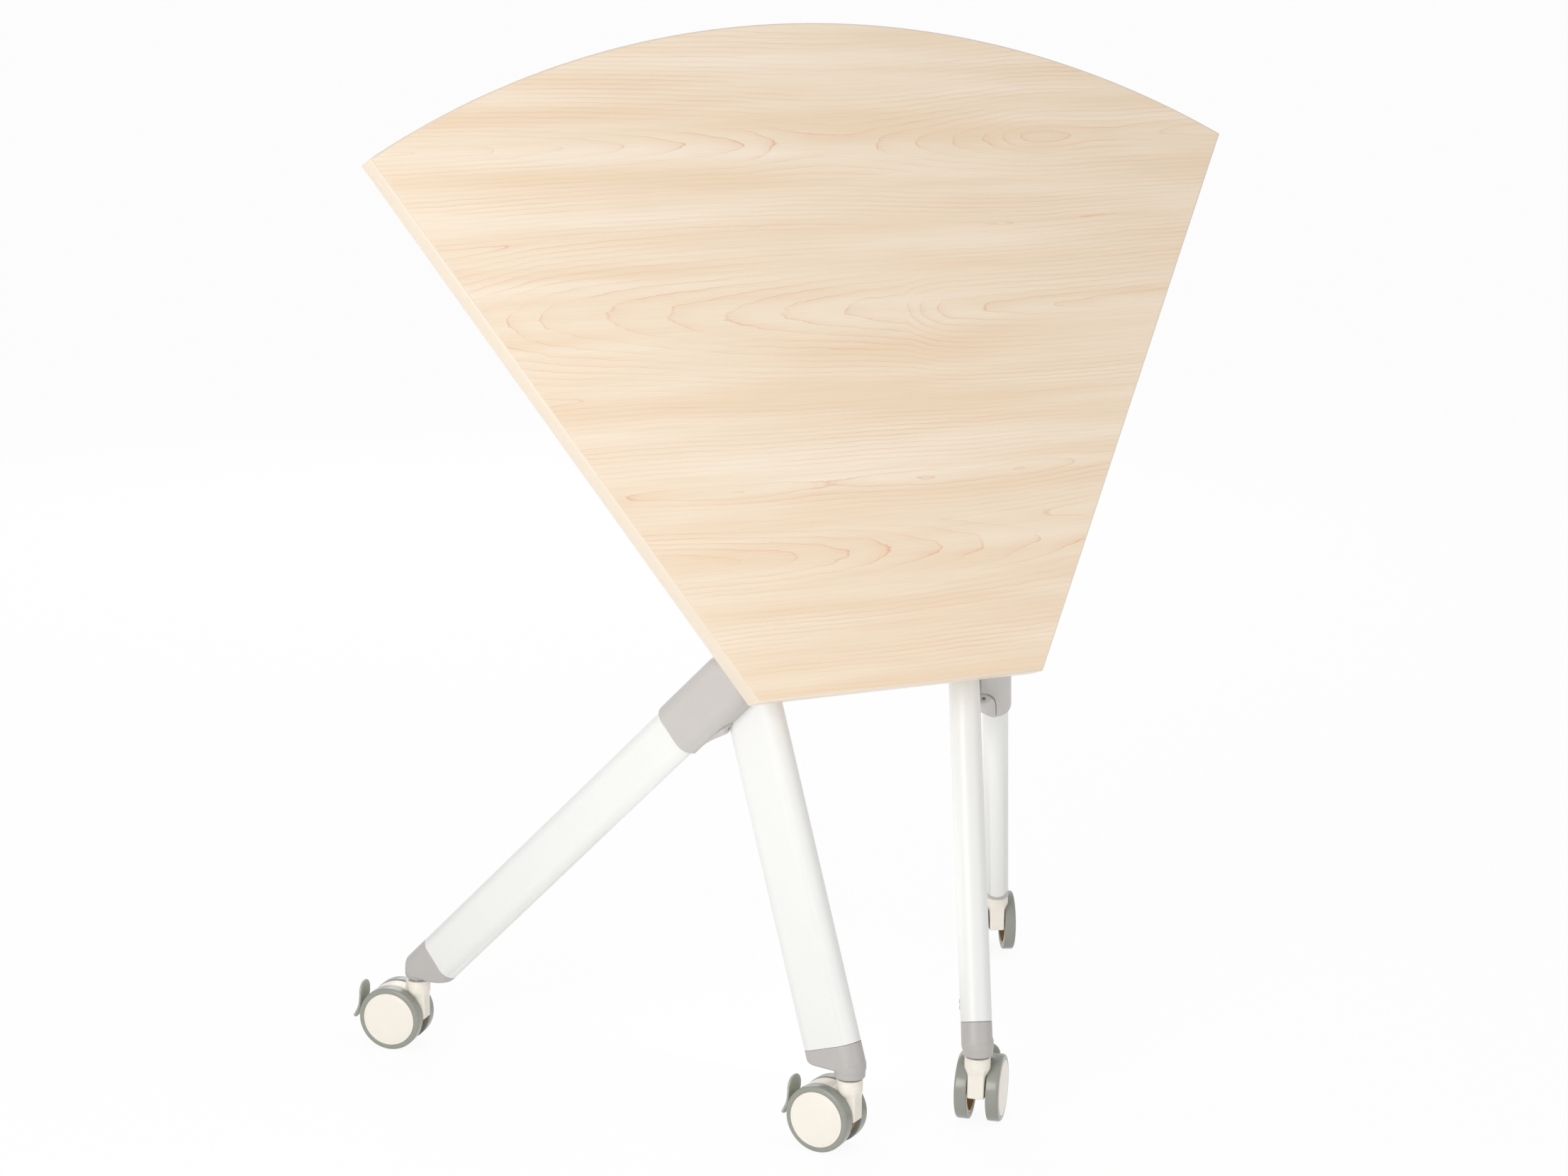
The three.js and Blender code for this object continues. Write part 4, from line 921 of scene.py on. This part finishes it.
def brake_shape(place):
    """Spoon: an oval section carried down a line that is upright, then flares out at the lip, with a
    dished outer face and round ends. A short tongue runs back to the pin in the hood."""
    rows, cols = 70, 48
    s = (np.arange(rows) + 0.5) / rows
    line = rounded(BRAKE_LINE, BRAKE_BEND, 40)
    travel = np.concatenate([[0], np.cumsum(np.linalg.norm(np.diff(line, axis=0), axis=1))])
    total = travel[-1]
    x, z = (np.interp(s * total, travel, line[:, i]) for i in range(2))
    along = np.gradient(np.stack([x, z], -1), axis=0)
    along = along / np.linalg.norm(along, axis=1)[:, None]
    normal = np.stack([-along[:, 1], along[:, 0]], -1)
    head, lip = np.minimum(s * total / BRAKE_ENDS[0], 1), np.minimum((1 - s) * total / BRAKE_ENDS[1], 1)
    cap = np.sqrt(1 - (1 - head) ** 2) * np.sqrt(1 - (1 - lip) ** 2)
    half_width = np.interp(s, BRAKE_SHARES, BRAKE_HALF_WIDTHS) * cap
    half_thick = BRAKE_HALF_THICK * np.sqrt(cap)
    a = np.arange(cols) * 2 * math.pi / cols
    wide = np.sign(np.cos(a)) * np.abs(np.cos(a)) ** 0.7
    thick = np.sign(np.sin(a)) * np.abs(np.sin(a)) ** 0.55
    dish = BRAKE_DISH * (1 - wide ** 2) * np.maximum(thick, 0)
    offset = half_thick[:, None] * thick - dish * (half_width[:, None] / BRAKE_HALF_WIDTHS[0])
    paddle = np.stack([
        x[:, None] + normal[:, :1] * offset,
        half_width[:, None] * wide,
        z[:, None] + normal[:, 1:] * offset,
    ], -1)
    back, half_height = np.array(TONGUE).T[..., None]
    flat = np.ones((len(TONGUE), cols))
    tongue = np.stack([back * flat, TONGUE_HALF * wide * flat, TONGUE_HEIGHT + half_height * thick], -1)
    return together(grid_shape(placed(paddle, place)), grid_shape(placed(tongue, place)))


def screw_shape(place, head, rise):
    """Low dome on a short skirt: radius and height by a quarter ellipse."""
    t = np.linspace(0, math.pi / 2, 8)
    profile = np.stack([head * np.cos(t), rise * np.sin(t)], -1)
    profile = np.concatenate([[(head, -SCREW_SKIRT)], profile[:-1], [(0.02, rise)]])
    return grid_shape(placed(turned(profile, 28), place))


# Operators

class TABLE_OT_board(Operator):
    """Maple board and its cream edge band"""

    bl_idname = "training_table.board"
    bl_label = "Board"

    def execute(self, context):
        stand_for("table_board", board_shape(), finish("maple"))
        edge = settings().sizes.band_edge / MM
        stand_for("edge_band", band_shape(edge), finish("band"))
        return {"FINISHED"}


class TABLE_OT_legs(Operator):
    """White oval tubes of both side frames and the crossbeam between them"""

    bl_idname = "training_table.legs"
    bl_label = "Legs"

    def execute(self, context):
        for side, out in SIDES:
            places = side_places(out)
            for leg, (section, start) in TUBES.items():
                tube = oval_tube(section, start, places[leg + "_length"] - TUBE_TOP_GAP)
                shape = grid_shape(placed(tube, places[leg]), ring=True)
                stand_for(f"{leg}_leg_{side}", shape, finish("powder"), 40)
            self.foot_screws(side, out, places["main"])
        low, high = (corner.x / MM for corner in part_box("crossbeam"))
        inner, outer = BEAM_RADII
        profile = [(inner, low), (outer, low), (outer, high), (inner, high)]
        along_x = (turn("z", -math.pi / 2), PIVOT)
        shape = grid_shape(placed(turned(profile), along_x), ring=True)
        stand_for("crossbeam", shape, finish("powder"))
        return {"FINISHED"}

    def foot_screws(self, side, out, leg):
        """Screw heads on the inner face of a main leg, above its foot."""
        face = -out * TUBES["main"][0][1] / 2
        away = leg[0] @ (np.eye(3) if out < 0 else turn("z", math.pi))
        for height in FOOT_SCREWS:
            seat = placed(np.array([0.0, face, height]), leg)
            shape = screw_shape((away, seat), *FOOT_SCREW_HEAD)
            add_piece(f"foot_screw_{side}_{int(height)}", shape, finish("steel"), "frame")


class TABLE_OT_castings(Operator):
    """Grey feet, knuckles and knuckle covers"""

    bl_idname = "training_table.castings"
    bl_label = "Castings"

    def execute(self, context):
        ease = settings().sizes.casting_edge / MM
        for side, out in SIDES:
            places = side_places(out)
            for end, leg, boss, underside, ahead, centre in FEET:
                foot, (tube, start) = places[end + "_foot"], TUBES[leg]
                field = foot_field(places[leg], foot, tube, start - FOOT_GAP, boss, underside, ahead, ease)
                points = cast_surface(field, np.array(centre), (40, 20, 30), 150, 220)
                shape = grid_shape(placed(points, foot))
                stand_for(f"{end}_foot_{side}", shape, finish("foot"), 60)
            length = places["rear_length"]
            mouth = length - KNUCKLE_LENGTH
            for name, field, centre, stretch, rows, cols in (
                ("knuckle_", knuckle_field(length, out, ease), (2.0, out * 3.0, length - 25.0),
                 (28, 16, 60), 220, 240),
                ("knuckle_cover_", cover_field(length, out), (-17.4, -out * 10.0, mouth + 36.8),
                 (11, 8, 26), 240, 260),
            ):
                points = cast_surface(field, np.array(centre), stretch, rows, cols)
                shape = grid_shape(placed(points, places["rear"]))
                stand_for(name + side, shape, finish("casting"), 60)
        return {"FINISHED"}


class TABLE_OT_casters(Operator):
    """Twin-wheel casters: housings, wheels, brake levers and stems"""

    bl_idname = "training_table.casters"
    bl_label = "Casters"

    def execute(self, context):
        ease = settings().sizes.moulding_edge / MM
        housing = cast_surface(housing_field(ease), np.array([5.0, 0, 48.0]), (30, 11, 22), 170, 220)
        tyre, hub = turned(tyre_profile(), 96), turned(hub_profile(), 96)
        stem = turned(rounded(STEM, 0.4), 40)
        # Painted shade mask: 1 behind the disc's web, and at the middle of its inner end, where the tan
        # painted shade goes
        painted_shade_mask = np.append(hub[..., 1].ravel() < HUB_OUTER - 2.0, [True, False]).astype(np.float32)
        axle = np.array([TRAIL, 0, WHEEL_RADIUS])
        for name in CASTERS:
            place = caster_place(name)
            shape = grid_shape(placed(housing, place))
            stand_for("caster_housing_" + name, shape, finish("nylon"), 60)
            for mark, sign in (("a", 1), ("b", -1)):
                wheel = np.array([1, sign, 1])
                shape = grid_shape(placed(tyre * wheel + axle, place), ring=True)
                stand_for(f"tyre_{mark}_{name}", shape, finish("tyre"), 60)
                shape = grid_shape(placed(hub * wheel + axle, place))
                disc = stand_for(f"hub_{mark}_{name}", shape, finish("nylon"), 40)
                inside = disc.data.attributes.new("inside", "FLOAT", "POINT")
                inside.data.foreach_set("value", painted_shade_mask)
            stand_for("brake_lever_" + name, brake_shape(place), finish("lever"), 60)
            upright = (place[0] @ turn("x", math.pi / 2), place[1])
            shape = grid_shape(placed(stem, upright))
            stand_for("caster_stem_" + name, shape, finish("steel"), 40)
            NODES["axle_" + name].material_slots[0].material = finish("steel")
        return {"FINISHED"}


class TABLE_OT_mechanism(Operator):
    """Heads, brackets, bumpers and latch behind the board"""

    bl_idname = "training_table.mechanism"
    bl_label = "Flip mechanism"

    def execute(self, context):
        beside, front, rear = BRACKET_SCREWS
        for side, out in SIDES:
            eased_copy("leg_head_" + side, finish("casting"))
            eased_copy("flip_bracket_" + side, finish("casting"))
            eased_copy("stop_bumper_" + side, finish("rubber"))
            NODES["pivot_bush_" + side].material_slots[0].material = finish("nylon")
            middle = -out * BRACKET_SPACING / 2
            seats = [(middle + x, y, BRACKET_FACE) for x in (-beside, beside) for y in (front, rear)]
            self.board_screws("bracket_screws_" + side, seats)
        lever = unplaced(np.array(JOINTS["latch_release"]["pos_m"]) / MM, TOP)
        seats = [(x, lever[1], LATCH_FACE) for x in (-LATCH_SCREWS, LATCH_SCREWS)]
        self.board_screws("latch_screws", seats)
        eased_copy("catch_bracket", finish("casting"))
        eased_copy("latch_bracket", finish("steel"))
        eased_copy("release_lever", finish("lever"))
        for node in ("lever_pin", "latch_spring"):
            NODES[node].material_slots[0].material = finish("steel")
        return {"FINISHED"}

    def board_screws(self, name, seats):
        """Screw heads that face down under the board, as one piece."""
        down = TOP[0] @ turn("x", -math.pi / 2)
        heads = [screw_shape((down, placed(np.array(seat), TOP)), *BOARD_SCREW_HEAD) for seat in seats]
        add_piece(name, together(*heads), finish("steel"), "top")


class TABLE_OT_stage(Operator):
    """Pale floor, soft studio light and the camera of the photograph"""

    bl_idname = "training_table.stage"
    bl_label = "Stage"

    def execute(self, context):
        scene = context.scene
        scene.view_settings.view_transform = "Standard"
        self.floor()
        self.world(scene)
        self.lamps(scene)
        self.camera(scene)
        return {"FINISHED"}

    def seen_rays(self, tree):
        """1 on the rays that show the background: to the camera, off a gloss, through a clear piece."""
        rays = add_node(tree, "ShaderNodeLightPath").outputs
        seen = rays["Is Camera Ray"]
        for ray in ("Is Glossy Ray", "Is Transmission Ray"):
            seen = add_node(tree, "ShaderNodeMath", {0: seen, 1: rays[ray]}, operation="MAXIMUM").outputs[0]
        return seen

    def floor(self):
        """Wide pale slab, which glows where it is seen and keeps a trace of the object's shadow."""
        square = np.array([(-1, -1, 0), (1, -1, 0), (1, 1, 0), (-1, 1, 0)]) * FLOOR_REACH
        slab = np.stack([square - (0, 0, FLOOR_DEPTH), square])
        obj = mesh_object("floor", grid_shape(slab))
        material, tree, principled = new_material("pale_floor", Roughness=0.9)
        principled.inputs["Base Color"].default_value = linear(FLOOR_COLOUR)
        share = add_node(
            tree, "ShaderNodeMath", {0: self.seen_rays(tree), 1: FLOOR_GLOW}, operation="MULTIPLY"
        ).outputs[0]
        glow = add_node(tree, "ShaderNodeEmission", {"Color": (1, 1, 1, 1), "Strength": 1.0})
        mixed = add_node(tree, "ShaderNodeMixShader", {
            "Fac": share, 1: principled.outputs["BSDF"], 2: glow.outputs["Emission"],
        })
        output = next(n for n in tree.nodes if n.type == "OUTPUT_MATERIAL")
        tree.links.new(mixed.outputs["Shader"], output.inputs["Surface"])
        obj.data.materials.append(material)

    def world(self, scene):
        """White surroundings that light the object at a lower level than they are seen at."""
        world = bpy.data.worlds.new("studio")
        scene.world = world
        world.use_nodes = True
        tree = world.node_tree
        tree.nodes.clear()
        strength = add_node(
            tree, "ShaderNodeMapRange", {"Value": self.seen_rays(tree), "To Min": SKY_LEVEL, "To Max": 1.0}
        ).outputs["Result"]
        sky = add_node(tree, "ShaderNodeBackground", {"Color": (1, 1, 1, 1), "Strength": strength})
        add_node(tree, "ShaderNodeOutputWorld", {"Surface": sky.outputs["Background"]})

    def lamps(self, scene):
        """Round soft lamps, turned to their targets."""
        for name, place, target, size, power in LAMPS:
            lamp = bpy.data.lights.new(name, "AREA")
            lamp.shape, lamp.size, lamp.energy = "DISK", size, power
            obj = bpy.data.objects.new(name, lamp)
            scene.collection.objects.link(obj)
            obj.location = place
            obj.visible_camera = False
            toward = Vector(target) - obj.location
            obj.rotation_euler = toward.to_track_quat("-Z", "Y").to_euler()

    def camera(self, scene):
        """Camera of the photograph: it looks along its yaw and pitch and is rolled about that line."""
        level = np.array([math.cos(CAMERA_YAW), -math.sin(CAMERA_YAW), 0])
        ahead = np.array([
            math.sin(CAMERA_YAW) * math.cos(CAMERA_PITCH),
            math.cos(CAMERA_YAW) * math.cos(CAMERA_PITCH),
            -math.sin(CAMERA_PITCH),
        ])
        above = np.cross(level, ahead)
        right = level * math.cos(CAMERA_ROLL) + above * math.sin(CAMERA_ROLL)
        up = above * math.cos(CAMERA_ROLL) - level * math.sin(CAMERA_ROLL)
        matrix = np.eye(4)
        matrix[:3] = np.column_stack([right, up, -ahead, np.array(CAMERA_EYE) * MM])
        data = bpy.data.cameras.new("photo_camera")
        data.sensor_fit, data.sensor_width, data.lens = "HORIZONTAL", CAMERA_SENSOR, CAMERA_LENS
        data.clip_end = CAMERA_REACH
        obj = bpy.data.objects.new("photo_camera", data)
        scene.collection.objects.link(obj)
        obj.matrix_world = Matrix(matrix.tolist())
        scene.camera = obj


PIECES = (
    TABLE_OT_board, TABLE_OT_legs, TABLE_OT_castings, TABLE_OT_casters, TABLE_OT_mechanism, TABLE_OT_stage,
)


class TABLE_PT_panel(Panel):
    """Sizes, colours and the steps that dress the table"""

    bl_label = "Training Table"
    bl_idname = "TABLE_PT_panel"
    bl_space_type = "VIEW_3D"
    bl_region_type = "UI"
    bl_category = "Training Table"

    def draw(self, context):
        for group in (context.scene.training_table.sizes, context.scene.training_table.colours):
            column = self.layout.column(align=True)
            for name in group.__annotations__:
                column.prop(group, name)
        for piece in PIECES:
            self.layout.operator(piece.bl_idname)


CLASSES = (TableSizes, TableColours, TableSettings, *PIECES, TABLE_PT_panel)


def register():
    """Registers the classes and gives each scene its own settings."""
    for cls in CLASSES:
        bpy.utils.register_class(cls)
    bpy.types.Scene.training_table = PointerProperty(type=TableSettings)


def unregister():
    """Takes back what register did."""
    del bpy.types.Scene.training_table
    for cls in reversed(CLASSES):
        bpy.utils.unregister_class(cls)


def main():
    """Dresses the table step by step."""
    register()
    for piece in PIECES:
        group, name = piece.bl_idname.split(".")
        getattr(getattr(bpy.ops, group), name)()
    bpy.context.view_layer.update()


if __name__ == "__main__":
    main()
